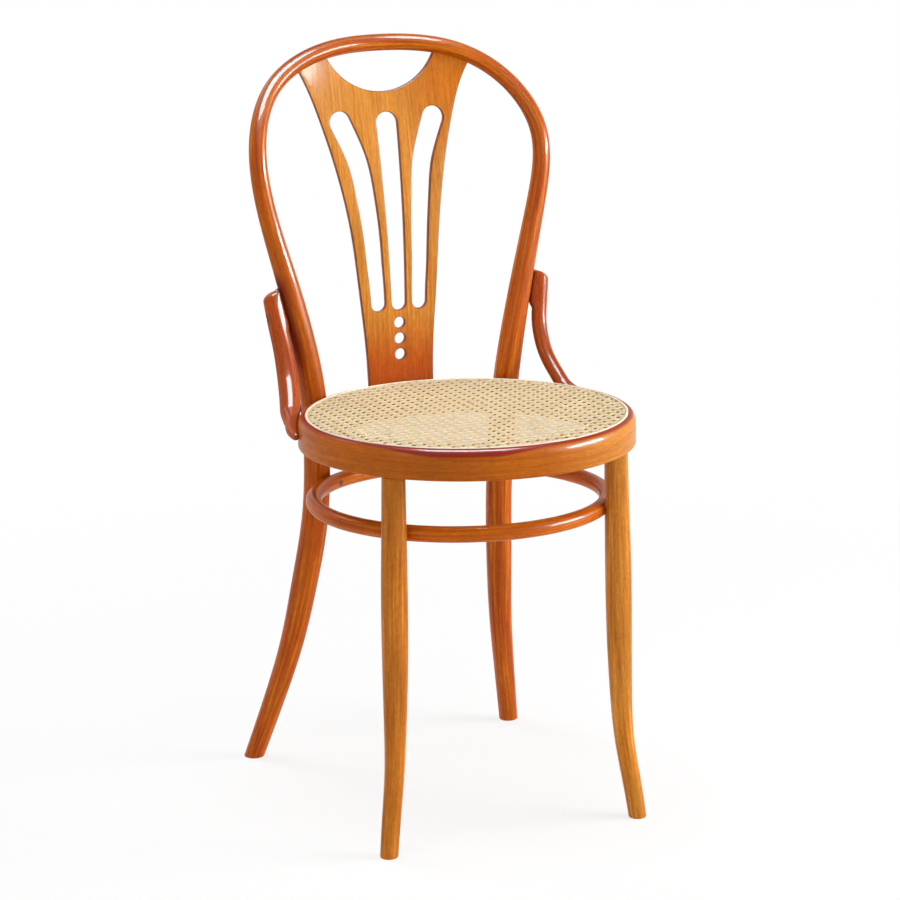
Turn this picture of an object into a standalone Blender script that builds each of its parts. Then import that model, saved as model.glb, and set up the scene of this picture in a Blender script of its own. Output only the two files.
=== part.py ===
"""Side chair of bent and turned beech with a round cane seat.

The back hoop and both rear legs are one bent member.  A plywood splat stands in a groove
of the hoop and is screwed to the back of the seat ring.  Metres, +Z up, the sitter faces -Y.
"""

import math

import bmesh
import bpy
import numpy as np
from mathutils import Matrix, Vector

# Clearances between neighbouring pieces, and how far a cutter runs past what it cuts
CLEARANCE = 0.0003
OVERRUN = 0.004

# Seat ring, a hoop of solid wood lying flat
SEAT_TOP = 0.469
SEAT_RADIUS = 0.1925
RING_HEIGHT = 0.035
RING_WIDTH = 0.040
RING_TOP_ROUND_WIDTH = 0.0076
RING_TOP_ROUND_HEIGHT = 0.0125
RING_EDGE_ROUND = 0.002

# Cane panel, pressed into a groove of the ring by a reed spline
CANE_GROOVE_INSET = 0.0083
CANE_GROOVE_DEPTH = 0.0072
CANE_THICKNESS = 0.0013
CANE_TURN_DOWN = 0.005
CANE_PITCH = 0.0205
CANE_HOLE = 0.0108
CANE_PLAIN_MARGIN = 0.0107
SPLINE_WIDTH = 0.0034
SPLINE_CROWN = 0.0008

# Front legs, turned, flaring out at the foot
FRONT_LEG_ANGLE = math.radians(38.8)
FRONT_LEG_INSET = 0.0187
FRONT_LEG_FLARE = 0.0248
FRONT_LEG_DIAMETER = 0.0304
FRONT_TENON_DIAMETER = 0.018
FRONT_TENON_COVER = 0.0058
FRONT_SHOULDER_ROUND = 0.003

# Back hoop with the rear legs
HOOP_HEIGHT = 0.8647
HOOP_HALF_WIDTH = 0.1777
HOOP_LEAN_DEPTH = 0.0918
HOOP_FOOT_SPREAD_WIDTH = 0.0482
HOOP_FOOT_SPLAY_DEPTH = 0.1068
HOOP_LEG_DIAMETER = 0.0314
HOOP_NOTCH_DEPTH = 0.001
HOOP_SEAT_ANGLE = math.radians(53.52)

# Feet of the legs, cut flat on the floor with a rounded edge
FOOT_ROUND = 0.0018

# Splat, bent plywood with three slots, three round holes and a half-moon hand hold
SPLAT_THICKNESS = 0.006
SPLAT_RISE_FROM_RING = 0.0027
SPLAT_HORN_HALF_WIDTH = 0.110
SPLAT_BOW_START_SHARE = 0.65
SPLAT_TONGUE = 0.0045
SPLAT_FLAT_DEPTH = 0.0015
MOON_RADIUS = 0.0752
MOON_DROP = 0.0550
SLOT_BOTTOM = 0.1170
SLOT_TOP_DROP = 0.0745
SLOT_FOOT_WIDTH = 0.0183
SLOT_HEAD_WIDTH = 0.0268
MIDDLE_SLOT_DROP = 0.0038
SPLAT_HOLE_DIAMETER = 0.0135
SPLAT_HOLE_PITCH = 0.019
SPLAT_HOLE_DROP = 0.0150

# Stretcher ring under the seat, inside all four legs
STRETCHER_DROP = 0.0699
STRETCHER_DIAMETER = 0.0184
STRETCHER_FRONT_SADDLE_DEPTH = 0.0028
STRETCHER_REAR_SADDLE_DEPTH = 0.0006

# Braces from the hoop down to the sides of the seat ring
BRACE_DIAMETER = 0.0190
BRACE_RISE_HEIGHT = 0.1235
BRACE_FOOT_DROP = 0.0200
BRACE_END_ROUND = 0.0025

# Wood screws, countersunk
SCREW_DIAMETER = 0.004
SCREW_HEAD_DIAMETER = 0.0076
SCREW_HEAD_HEIGHT = 0.0024
SCREW_TIP_LENGTH = 0.006
SCREW_TIP_DIAMETER = 0.0008
STRETCHER_SCREW_LENGTH = 0.034
BRACE_SCREW_LENGTH = 0.030
SPLAT_SCREW_LENGTH = 0.024
SPLAT_SCREW_SPACING = 0.028
HEAD_SINK = 0.0006

# Bolts that hold the rear legs to the seat ring
BOLT_DIAMETER = 0.006
BOLT_HEAD_DIAMETER = 0.015
BOLT_HEAD_HEIGHT = 0.0034
WASHER_DIAMETER = 0.016
WASHER_THICKNESS = 0.0015
NUT_WIDTH = 0.010
NUT_THICKNESS = 0.005
BOLT_END_BEYOND_NUT = 0.003
BOLT_CHAMFER = 0.0008
SPOT_FACE_DEPTH = 0.0012

# Fineness of the round surfaces
RING_SEGMENTS = 56
STRETCHER_SEGMENTS = 46
MEMBER_SIDES = 12
TUBE_SIDES = 10
SCREW_SIDES = 8
SPAN_STEPS = 3

RING_BOTTOM = SEAT_TOP - RING_HEIGHT
RING_MIDDLE = SEAT_TOP - RING_HEIGHT / 2
RING_INSIDE = SEAT_RADIUS - RING_WIDTH
CANE_GROOVE_RADIUS = SEAT_RADIUS - CANE_GROOVE_INSET
CANE_HOLE_LIMIT_RADIUS = CANE_GROOVE_RADIUS - CANE_PLAIN_MARGIN
FRONT_LEG_DISTANCE = SEAT_RADIUS - FRONT_LEG_INSET
FRONT_TENON_LENGTH = RING_HEIGHT - CANE_GROOVE_DEPTH - FRONT_TENON_COVER
STRETCHER_HEIGHT = RING_BOTTOM - STRETCHER_DROP
BRACE_FOOT = SEAT_TOP - BRACE_FOOT_DROP
BRACE_TOP = SEAT_TOP + BRACE_RISE_HEIGHT
SPLAT_FOOT = RING_BOTTOM + SPLAT_RISE_FROM_RING
SPLAT_HEIGHT = HOOP_HEIGHT - SPLAT_FOOT
SPLAT_FOOT_FACE = SEAT_RADIUS - SPLAT_FLAT_DEPTH + CLEARANCE
SPLAT_FOOT_Y = SPLAT_FOOT_FACE + SPLAT_THICKNESS / 2

# Share of the leg's diameter that the hoop has where it passes the seat ring
HOOP_SEAT_SHARE = 0.965

# Rear leg from foot to seat: height share, spread share, splay share, diameter share
HOOP_LEG_SHARES = (
    (0.0000, 1.000, 1.0000, 0.740),
    (0.1724, 0.632, 0.7392, 0.800),
    (0.3486, 0.300, 0.4964, 0.900),
    (0.5324, 0.075, 0.2919, 0.995),
    (0.7182, -0.083, 0.1182, 1.000),
    (0.9174, -0.069, 0.0235, 0.985),
)

# Hoop from seat to crest: height share, shares of its width at the seat and at its widest,
# lean share, diameter share
HOOP_BACK_SHARES = (
    (0.1169, 0.898, 0.102, -0.0202, 0.945),
    (0.3513, 0.519, 0.481, 0.0244, 0.815),
    (0.5501, 0.139, 0.861, 0.0957, 0.705),
    (0.7447, 0.000, 1.000, 0.1999, 0.650),
    (0.9017, 0.000, 0.812, 0.5865, 0.620),
    (0.9854, 0.000, 0.441, 0.8303, 0.625),
    (1.0021, 0.000, 0.000, 1.0000, 0.630),
)

# Front leg: height share of the leg, share of the flare, share of the diameter
FRONT_LEG_SHARES = (
    (0.00, 1.00, 0.671),
    (0.10, 0.72, 0.705),
    (0.22, 0.37, 0.745),
    (0.36, 0.21, 0.855),
    (0.52, 0.14, 0.960),
    (0.68, 0.10, 0.990),
    (0.84, 0.05, 0.930),
    (1.00, 0.00, 0.869),
)

# Brace from foot to top: height share, how far its centre lies outward and back from the
# straight line between ring and hoop as shares of its distance from the hoop at the top, and
# the share of its diameter
BRACE_SHARES = (
    (0.000, -0.103, 2.012, 0.42),
    (0.010, -0.221, 2.891, 0.79),
    (0.035, -0.464, 3.537, 0.96),
    (0.087, -0.636, 4.006, 1.00),
    (0.158, -0.668, 3.989, 1.00),
    (0.299, -0.625, 3.798, 1.00),
    (0.441, -0.439, 3.325, 1.00),
    (0.582, -0.131, 2.679, 0.98),
    (0.724, 0.270, 1.871, 0.97),
    (0.865, 0.652, 1.028, 0.98),
    (1.000, 0.979, 0.212, 1.00),
)

# Bolt head from its rim up: share of the head's radius, share of its height
BOLT_HEAD_SHARES = ((1.0, 0.0), (1.0, 0.25), (0.8, 0.75), (0.4, 1.0))

# Splat at even heights from foot to crest: lean shares, and half-width shares of the horn
LEAN_SHARES = (0.0, 0.045, 0.075, 0.100, 0.135, 0.195, 0.290, 0.415, 0.570, 0.775, 1.0)
HALF_WIDTH_SHARES = (0.373, 0.376, 0.396, 0.432, 0.468, 0.509, 0.571, 0.654, 0.760, 0.897, 1.11)

# Outer slots at even heights from bottom to top: shares of the horn's half width
SLOT_SPREAD_SHARES = (0.237, 0.245, 0.259, 0.269, 0.281, 0.298, 0.319, 0.343, 0.385, 0.455, 0.536)


def remove_scene_objects():
    for obj in list(bpy.data.objects):
        bpy.data.objects.remove(obj, do_unlink=True)


def principled(name, colour, roughness, metal=False):
    """A material with one Principled shader."""
    material = bpy.data.materials.new(name)
    material.use_nodes = True
    shader = material.node_tree.nodes["Principled BSDF"]
    shader.inputs["Base Color"].default_value = (*colour, 1.0)
    shader.inputs["Roughness"].default_value = roughness
    shader.inputs["Metallic"].default_value = float(metal)
    return material


def smooth_line(knots, steps=SPAN_STEPS):
    """Points on the natural cubic spline through evenly counted knots, steps to a span."""
    knots = np.asarray(knots, float)
    count = len(knots)
    system = np.eye(count)
    right_side = np.zeros_like(knots)
    for row in range(1, count - 1):
        system[row, row - 1:row + 2] = (1, 4, 1)
        right_side[row] = 6 * (knots[row + 1] - 2 * knots[row] + knots[row - 1])
    bend = np.linalg.solve(system, right_side)
    where = np.linspace(0, count - 1, (count - 1) * steps + 1)
    span = np.minimum(where.astype(int), count - 2)
    shape = (-1,) + (1,) * (knots.ndim - 1)
    after = (where - span).reshape(shape)
    before = 1 - after
    start = knots[span] - bend[span] / 6
    end = knots[span + 1] - bend[span + 1] / 6
    curve = (bend[span] * before ** 3 + bend[span + 1] * after ** 3) / 6
    return curve + start * before + end * after


def new_object(name, vertices, faces, material, parent, smooth=True):
    """A mesh object with faces turned outwards."""
    mesh = bpy.data.meshes.new(name)
    mesh.from_pydata([tuple(v) for v in vertices], [], faces)
    shell = bmesh.new()
    shell.from_mesh(mesh)
    bmesh.ops.recalc_face_normals(shell, faces=shell.faces)
    shell.to_mesh(mesh)
    shell.free()
    if smooth:
        mesh.shade_smooth()
        mesh.set_sharp_from_angle(angle=math.radians(35))
    obj = bpy.data.objects.new(name, mesh)
    bpy.context.collection.objects.link(obj)
    obj.parent = parent
    if material:
        obj.data.materials.append(material)
    return obj


def stack_faces(rings, sides, closed=False):
    """Quads between neighbouring rings of vertices, with end caps unless the stack is closed."""
    faces = []
    for ring in range(rings if closed else rings - 1):
        here = ring * sides
        there = ((ring + 1) % rings) * sides
        for side in range(sides):
            after = (side + 1) % sides
            faces.append((here + side, here + after, there + after, there + side))
    if not closed:
        faces.append(tuple(range(sides)))
        faces.append(tuple(range((rings - 1) * sides, rings * sides)))
    return faces


def turned(name, profile, sides, material, parent, closed=False):
    """A solid turned about Z from (radius, height) points."""
    angles = np.linspace(0, 2 * math.pi, sides, endpoint=False)
    vertices = []
    for radius, height in profile:
        for angle in angles:
            vertices.append((radius * math.cos(angle), radius * math.sin(angle), height))
    return new_object(name, vertices, stack_faces(len(profile), sides, closed), material, parent)


def quarter_arc(centre, wide, high, start, steps=3):
    """Points of a quarter ellipse in the (radius, height) plane, counter-clockwise."""
    points = []
    for step in range(steps + 1):
        angle = start + math.pi / 2 * step / steps
        points.append((centre[0] + wide * math.cos(angle), centre[1] + high * math.sin(angle)))
    return points


def round_member(name, line, radii, material, parent, sides=MEMBER_SIDES, level=()):
    """A round member along a line; the stations in level are cut level instead of square."""
    line = np.asarray(line, float)
    tangents = np.gradient(line, axis=0)
    level = set(level)
    normal = np.array((1.0, 0.0, 0.0))
    vertices = []
    angles = np.linspace(0, 2 * math.pi, sides, endpoint=False)
    last = np.array((0.0, 0.0, 1.0))
    for station, (point, radius) in enumerate(zip(line, radii)):
        size = np.linalg.norm(tangents[station])
        tangent = tangents[station] / size if size > 0 else last
        last = tangent
        normal = normal - tangent * normal.dot(tangent)
        normal = normal / np.linalg.norm(normal)
        side = np.cross(tangent, normal)
        ring = np.outer(np.cos(angles), normal) + np.outer(np.sin(angles), side)
        ring = ring * radius
        if station in level:
            ring = ring - np.outer(ring[:, 2] / tangent[2], tangent)
        vertices.extend(point + ring)
    return new_object(name, vertices, stack_faces(len(line), sides), material, parent)


def foot_stations(line, radii, rounding):
    """The line and radii with a level, rounded foot added in front of the first point."""
    direction = (line[1] - line[0]) / (line[1][2] - line[0][2])
    points = []
    sizes = []
    for angle in (0.0, math.pi / 6, math.pi / 3, math.pi / 2):
        points.append(line[0] + direction * rounding * (1 - math.cos(angle)))
        sizes.append(radii[0] - rounding * (1 - math.sin(angle)))
    return np.vstack([points, line[1:]]), np.concatenate([sizes, radii[1:]])


def rounded_ends(line, radii, rounding):
    """The line and radii with both ends rounded over."""
    first = (line[1] - line[0]) / np.linalg.norm(line[1] - line[0])
    final = (line[-1] - line[-2]) / np.linalg.norm(line[-1] - line[-2])
    head, head_radii, tail, tail_radii = [], [], [], []
    for angle in (0.0, math.pi / 6, math.pi / 3, math.pi / 2):
        depth = rounding * (1 - math.cos(angle))
        size = rounding * (1 - math.sin(angle))
        head.append(line[0] + first * depth)
        head_radii.append(radii[0] - size)
        tail.append(line[-1] - final * depth)
        tail_radii.append(radii[-1] - size)
    points = np.vstack([head, line[1:-1], tail[::-1]])
    return points, np.concatenate([head_radii, radii[1:-1], tail_radii[::-1]])


def cutter(obj):
    """Marks an object as a cutting tool."""
    obj.display_type = "WIRE"
    obj.hide_render = True
    return obj


def cut(target, tool, operation="DIFFERENCE"):
    """Cuts the tool out of the target, or keeps what both share."""
    cutter(tool)
    boolean = target.modifiers.new(tool.name, "BOOLEAN")
    boolean.operation = operation
    boolean.solver = "EXACT"
    boolean.object = tool


def aim(obj, place, direction):
    """Puts an object's origin at a place with its Z axis along a direction."""
    turn = Vector(direction).to_track_quat("Z", "Y")
    obj.matrix_local = Matrix.Translation(Vector(place)) @ turn.to_matrix().to_4x4()


def hoop_seat_place():
    """Side and depth of the hoop's centre where it passes the seat ring."""
    leg_radius = HOOP_SEAT_SHARE * HOOP_LEG_DIAMETER / 2
    distance = SEAT_RADIUS + leg_radius - HOOP_NOTCH_DEPTH
    return distance * math.cos(HOOP_SEAT_ANGLE), distance * math.sin(HOOP_SEAT_ANGLE)


def hoop_line():
    """The hoop's centre line from the left foot over the crest to the right foot, and its radii."""
    seat_side, seat_depth = hoop_seat_place()
    half = []
    for height, spread, splay, size in HOOP_LEG_SHARES:
        half.append((
            seat_side + spread * HOOP_FOOT_SPREAD_WIDTH,
            seat_depth + splay * HOOP_FOOT_SPLAY_DEPTH,
            height * RING_MIDDLE,
            size * HOOP_LEG_DIAMETER / 2,
        ))
    for height, seat, widest, lean, size in HOOP_BACK_SHARES:
        half.append((
            seat * seat_side + widest * HOOP_HALF_WIDTH,
            seat_depth + lean * HOOP_LEAN_DEPTH,
            RING_MIDDLE + height * (HOOP_HEIGHT - RING_MIDDLE),
            size * HOOP_LEG_DIAMETER / 2,
        ))
    mirrored = [(-x, y, z, r) for x, y, z, r in half]
    knots = mirrored + half[-2::-1]
    smooth = smooth_line(knots)
    return smooth[:, :3], smooth[:, 3]


def hoop_axis(side, height):
    """The hoop's centre on one side at a height below the crest's bend."""
    line, radii = hoop_line()
    half = len(line) // 2
    x = np.interp(height, line[:half, 2], line[:half, 0]) * -side
    y = np.interp(height, line[:half, 2], line[:half, 1])
    return np.array((x, y, height))


def hoop_radius(height):
    """The hoop's radius at a height below the crest's bend."""
    line, radii = hoop_line()
    half = len(line) // 2
    return np.interp(height, line[:half, 2], radii[:half])


def splat_lean(share):
    """How far behind its foot the splat's middle stands at a share of its height."""
    steps = 8
    shares = smooth_line(LEAN_SHARES, steps)
    crest = hoop_seat_place()[1] + HOOP_LEAN_DEPTH
    places = np.linspace(0, 1, len(shares))
    return np.interp(share, places, shares) * (crest - SPLAT_FOOT_Y)


def splat_bow():
    """How far in front of the crest the hoop stands where the splat's horns meet it."""
    line, radii = hoop_line()
    middle = len(line) // 2
    widest = line[:middle, 0].argmin()
    arch = line[widest:middle + 1]
    return arch[-1][1] - np.interp(-SPLAT_HORN_HALF_WIDTH, arch[:, 0], arch[:, 1])


def splat_half_width(share):
    """The splat's half width at a share of its height."""
    steps = 8
    shares = smooth_line(HALF_WIDTH_SHARES, steps)
    return np.interp(share, np.linspace(0, 1, len(shares)), shares) * SPLAT_HORN_HALF_WIDTH


def splat_y(x, z):
    """The splat's middle surface, which leans back and bows forward at its sides near the crest."""
    share = np.clip((z - SPLAT_FOOT) / SPLAT_HEIGHT, 0, None)
    bow = np.clip((share - SPLAT_BOW_START_SHARE) / (1 - SPLAT_BOW_START_SHARE), 0, None) ** 2
    return SPLAT_FOOT_Y + splat_lean(share) - splat_bow() * bow * (x / SPLAT_HORN_HALF_WIDTH) ** 2


def seat_ring(wood, parent):
    top = SEAT_TOP
    land = SEAT_TOP - CANE_THICKNESS - CLEARANCE
    groove_inside = CANE_GROOVE_RADIUS - SPLINE_WIDTH - CANE_THICKNESS - 3 * CLEARANCE
    edge = RING_EDGE_ROUND
    wide = RING_TOP_ROUND_WIDTH
    high = RING_TOP_ROUND_HEIGHT
    profile = quarter_arc((SEAT_RADIUS - edge, RING_BOTTOM + edge), edge, edge, -math.pi / 2, 2)
    profile += quarter_arc((SEAT_RADIUS - wide, top - high), wide, high, 0, 4)
    profile += [
        (CANE_GROOVE_RADIUS, top),
        (CANE_GROOVE_RADIUS, top - CANE_GROOVE_DEPTH),
        (groove_inside, top - CANE_GROOVE_DEPTH),
        (groove_inside, land),
    ]
    profile += quarter_arc((RING_INSIDE + edge, land - edge), edge, edge, math.pi / 2, 1)
    profile += quarter_arc((RING_INSIDE + edge, RING_BOTTOM + edge), edge, edge, math.pi, 1)
    return turned("seat_ring", profile, RING_SEGMENTS, wood, parent, closed=True)


def cane_panel(cane, parent):
    """A flat net whose rim turns down into the ring's groove."""
    outside = CANE_GROOVE_RADIUS - SPLINE_WIDTH - 2 * CLEARANCE
    inside = outside - CANE_THICKNESS
    underside = SEAT_TOP - CANE_THICKNESS
    bottom = underside - CANE_TURN_DOWN
    corner = CANE_THICKNESS / 2
    profile = [
        (inside, underside),
        (inside, bottom),
        (outside, bottom),
        (outside, SEAT_TOP - corner),
        (outside - corner, SEAT_TOP),
    ]
    panel = turned("cane_panel", profile, RING_SEGMENTS, cane, parent)
    reach = int(CANE_HOLE_LIMIT_RADIUS / CANE_PITCH) + 1
    half = CANE_HOLE / 2
    low = underside - OVERRUN
    high = SEAT_TOP + OVERRUN
    vertices = []
    faces = []
    for column in range(-reach, reach + 1):
        for row in range(-reach, reach + 1):
            x = column * CANE_PITCH
            y = row * CANE_PITCH
            if math.hypot(x, y) > CANE_HOLE_LIMIT_RADIUS:
                continue
            start = len(vertices)
            for z in (low, high):
                for dx, dy in ((-half, -half), (half, -half), (half, half), (-half, half)):
                    vertices.append((x + dx, y + dy, z))
            faces += [tuple(start + corner for corner in face) for face in stack_faces(2, 4)]
    cut(panel, new_object("cane_holes", vertices, faces, None, parent, smooth=False))
    return panel


def cane_spline(reed, parent):
    """A reed ring that wedges the cane in its groove, slightly crowned."""
    outside = CANE_GROOVE_RADIUS - CLEARANCE
    inside = outside - SPLINE_WIDTH + CLEARANCE
    bottom = SEAT_TOP - CANE_GROOVE_DEPTH + CLEARANCE
    quarter = (outside - inside) / 4
    profile = [
        (inside, bottom),
        (outside, bottom),
        (outside, SEAT_TOP),
        (outside - quarter, SEAT_TOP + SPLINE_CROWN),
        (inside + quarter, SEAT_TOP + SPLINE_CROWN),
        (inside, SEAT_TOP),
    ]
    return turned("cane_spline", profile, RING_SEGMENTS, reed, parent, closed=True)


def back_hoop(wood, parent):
    line, radii = hoop_line()
    line, radii = foot_stations(line, radii, FOOT_ROUND)
    line, radii = foot_stations(line[::-1], radii[::-1], FOOT_ROUND)
    count = len(line)
    level = [0, 1, 2, 3, count - 4, count - 3, count - 2, count - 1]
    return round_member("back_hoop", line, radii, wood, parent, level=level)


def front_leg_axis(side, share):
    """A point of a front leg's centre line; share 1 is under the seat ring."""
    heights = [row[0] for row in FRONT_LEG_SHARES]
    flares = [row[1] for row in FRONT_LEG_SHARES]
    distance = FRONT_LEG_DISTANCE + FRONT_LEG_FLARE * np.interp(share, heights, flares)
    return np.array((
        side * distance * math.cos(FRONT_LEG_ANGLE),
        -distance * math.sin(FRONT_LEG_ANGLE),
        share * (RING_BOTTOM - CLEARANCE),
    ))


def front_leg_radius(share):
    heights = [row[0] for row in FRONT_LEG_SHARES]
    sizes = [row[2] for row in FRONT_LEG_SHARES]
    return np.interp(share, heights, sizes) * FRONT_LEG_DIAMETER / 2


def front_leg(name, side, wood, parent):
    """A turned leg with a shoulder under the ring and a tenon inside it."""
    knots = []
    for share, _, size in FRONT_LEG_SHARES:
        knots.append((*front_leg_axis(side, share), size * FRONT_LEG_DIAMETER / 2))
    smooth = smooth_line(knots, 2)
    line, radii = foot_stations(smooth[:, :3], smooth[:, 3], FOOT_ROUND)
    shoulder = line[-1]
    radius = radii[-1]
    tenon = FRONT_TENON_DIAMETER / 2
    heights = [-FRONT_SHOULDER_ROUND, -FRONT_SHOULDER_ROUND / 3, 0, 0]
    sizes = [radius, radius - FRONT_SHOULDER_ROUND / 3, radius - FRONT_SHOULDER_ROUND, tenon]
    heights += [FRONT_TENON_LENGTH - FRONT_SHOULDER_ROUND / 3, FRONT_TENON_LENGTH]
    sizes += [tenon, tenon - FRONT_SHOULDER_ROUND / 3]
    top = [shoulder + np.array((0, 0, height)) for height in heights]
    level = list(range(4)) + list(range(len(line) - 1, len(line) + len(top)))
    line = np.vstack([line[:-1], top])
    radii = np.concatenate([radii[:-1], sizes])
    return round_member(name, line, radii, wood, parent, level=level)


def tenon_bore(name, side, parent):
    """The blind bore that a front leg's tenon stands in."""
    radius = FRONT_TENON_DIAMETER / 2 + CLEARANCE
    depth = FRONT_TENON_LENGTH + CLEARANCE
    bore = turned(name, [(radius, -OVERRUN), (radius, depth)], MEMBER_SIDES, None, parent)
    bore.location = front_leg_axis(side, 1)
    return bore


def stretcher_circle():
    """Radius and set-back of the stretcher ring that lies in the saddles of all four legs."""
    share = STRETCHER_HEIGHT / RING_BOTTOM
    front = front_leg_axis(1, share)
    rear = hoop_axis(1, STRETCHER_HEIGHT)
    rod = STRETCHER_DIAMETER / 2
    front_reach = rod + front_leg_radius(share) - STRETCHER_FRONT_SADDLE_DEPTH
    rear_reach = rod + hoop_radius(STRETCHER_HEIGHT) - STRETCHER_REAR_SADDLE_DEPTH

    # A circle at set-back b with radius r passes each leg at r plus its reach:
    # b = offset + slope * r, and r follows from a quadratic
    apart = 2 * (front[1] - rear[1])
    squares = front[0] ** 2 + front[1] ** 2 - rear[0] ** 2 - rear[1] ** 2
    offset = (squares - front_reach ** 2 + rear_reach ** 2) / apart
    slope = -2 * (front_reach - rear_reach) / apart
    ahead = front[1] - offset
    leading = 1 - slope ** 2
    linear = front_reach + slope * ahead
    constant = front_reach ** 2 - front[0] ** 2 - ahead ** 2
    radius = (-linear + math.sqrt(linear ** 2 - leading * constant)) / leading
    return radius, offset + slope * radius


def torus(name, grow, material, parent):
    """The stretcher ring, a round rod bent to a level ring; with a clearance, its saddle cutter."""
    radius, set_back = stretcher_circle()
    rod = STRETCHER_DIAMETER / 2 + grow
    profile = []
    for side in range(TUBE_SIDES):
        angle = 2 * math.pi * side / TUBE_SIDES
        profile.append((radius + rod * math.cos(angle), rod * math.sin(angle)))
    ring = turned(name, profile, STRETCHER_SEGMENTS, material, parent, closed=True)
    ring.location = (0, set_back, STRETCHER_HEIGHT)
    return ring


def brace_line(side):
    """A brace's centre line from its foot on the seat ring up to the hoop, and its radii."""
    ring_side = np.array((SEAT_RADIUS, 0.0))
    hoop_side = hoop_axis(1, BRACE_TOP)[:2]
    beside = hoop_radius(BRACE_TOP) + BRACE_DIAMETER / 2
    knots = []
    for height, across, back, size in BRACE_SHARES:
        straight = ring_side + (hoop_side - ring_side) * height
        knots.append((
            side * (straight[0] + across * beside),
            straight[1] + back * beside,
            BRACE_FOOT + height * (BRACE_TOP - BRACE_FOOT),
            size * BRACE_DIAMETER / 2,
        ))
    smooth = smooth_line(knots, 2)
    return smooth[:, :3], smooth[:, 3]


def brace(name, side, wood, parent):
    line, radii = brace_line(side)
    line, radii = rounded_ends(line, radii, BRACE_END_ROUND)
    return round_member(name, line, radii, wood, parent, sides=TUBE_SIDES)


def screw_profile(length, grow=0.0, beyond=0.0):
    """A countersunk screw from its tip up; grow and beyond turn it into its own hole."""
    shank = SCREW_DIAMETER / 2 + grow
    tip = SCREW_TIP_DIAMETER / 2 + grow
    head = SCREW_HEAD_DIAMETER / 2 + grow
    points = [
        (tip, -length - grow),
        (shank, -length + SCREW_TIP_LENGTH),
        (shank, -SCREW_HEAD_HEIGHT),
        (head, 0 if not beyond else -grow),
    ]
    if beyond:
        points.append((head, beyond))
    return points


def screw(name, place, direction, length, steel, parent, holds):
    """A screw driven along a direction, with its hole in each piece that it holds."""
    body = turned(name, screw_profile(length), SCREW_SIDES, steel, parent)
    outward = -Vector(direction)
    aim(body, place, outward)
    profile = screw_profile(length, CLEARANCE, OVERRUN)
    hole = turned(name + "_hole", profile, SCREW_SIDES, None, parent)
    aim(hole, place, outward)
    for piece in holds:
        cut(piece, hole)
    return body


def splat_board(name, thickness, material, parent):
    """A flat board in the XZ plane, divided into a grid, that the splat is cut from."""
    columns = 6
    rows = 13
    half_width = SPLAT_HORN_HALF_WIDTH * HALF_WIDTH_SHARES[-1] + OVERRUN
    xs = np.linspace(-half_width, half_width, columns + 1)
    zs = np.linspace(SPLAT_FOOT - OVERRUN, HOOP_HEIGHT + OVERRUN, rows + 1)
    vertices = [(x, y, z) for y in (-thickness / 2, thickness / 2) for z in zs for x in xs]
    wide = columns + 1
    layer = wide * (rows + 1)
    faces = []
    for row in range(rows):
        for column in range(columns):
            first = row * wide + column
            quad = (first, first + 1, first + 1 + wide, first + wide)
            faces.append(quad)
            faces.append(tuple(corner + layer for corner in reversed(quad)))
    border = list(range(wide))
    border += [row * wide + columns for row in range(1, rows + 1)]
    border += [rows * wide + column for column in range(columns - 1, -1, -1)]
    border += [row * wide for row in range(rows - 1, 0, -1)]
    for here, there in zip(border, border[1:] + border[:1]):
        faces.append((here, here + layer, there + layer, there))
    return new_object(name, vertices, faces, material, parent)


def prisms(name, outlines, thickness, parent):
    """A cutter with one prism for each outline in the XZ plane, through a board's thickness."""
    reach = thickness / 2 + OVERRUN
    vertices = []
    faces = []
    for outline in outlines:
        start = len(vertices)
        vertices += [(x, y, z) for y in (-reach, reach) for x, z in outline]
        faces += [tuple(start + corner for corner in face)
                  for face in stack_faces(2, len(outline))]
    return new_object(name, vertices, faces, None, parent, smooth=False)


def bend_board(board):
    """Fixes the cuts of a flat board, then bends it to the splat's middle surface."""
    bpy.context.view_layer.update()
    graph = bpy.context.evaluated_depsgraph_get()
    flat = bpy.data.meshes.new_from_object(board.evaluated_get(graph))
    tools = [modifier.object for modifier in board.modifiers]
    board.modifiers.clear()
    for tool in tools:
        bpy.data.objects.remove(tool, do_unlink=True)
    shell = bmesh.new()
    shell.from_mesh(flat)
    bmesh.ops.triangulate(shell, faces=shell.faces)
    for vertex in shell.verts:
        vertex.co.y += float(splat_y(vertex.co.x, vertex.co.z))
    shell.to_mesh(flat)
    shell.free()
    flat.shade_smooth()
    flat.set_sharp_from_angle(angle=math.radians(35))
    board.data = flat
    return board


def splat_outline(grow):
    """The splat's edge: both sides up to the hoop, and a tongue along the hoop's centre line."""
    line, radii = hoop_line()
    x = line[:, 0]
    z = line[:, 2]
    slope = np.stack([np.gradient(x), np.gradient(z)], 1)
    slope /= np.linalg.norm(slope, axis=1)[:, None]
    inset = radii - SPLAT_TONGUE - grow
    tongue_x = x + slope[:, 1] * inset
    tongue_z = z - slope[:, 0] * inset
    share = (tongue_z - SPLAT_FOOT) / SPLAT_HEIGHT
    inside = (np.abs(tongue_x) < splat_half_width(share) + grow) & (share > 0.5)
    tongue = list(zip(tongue_x[inside], tongue_z[inside]))
    meeting = tongue[0][1]
    heights = np.linspace(SPLAT_FOOT - grow, meeting, 23)[:-1]
    sides = splat_half_width((heights - SPLAT_FOOT) / SPLAT_HEIGHT) + grow
    left = list(zip(-sides, heights))
    right = list(zip(sides[::-1], heights[::-1]))
    return left + tongue + right


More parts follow.
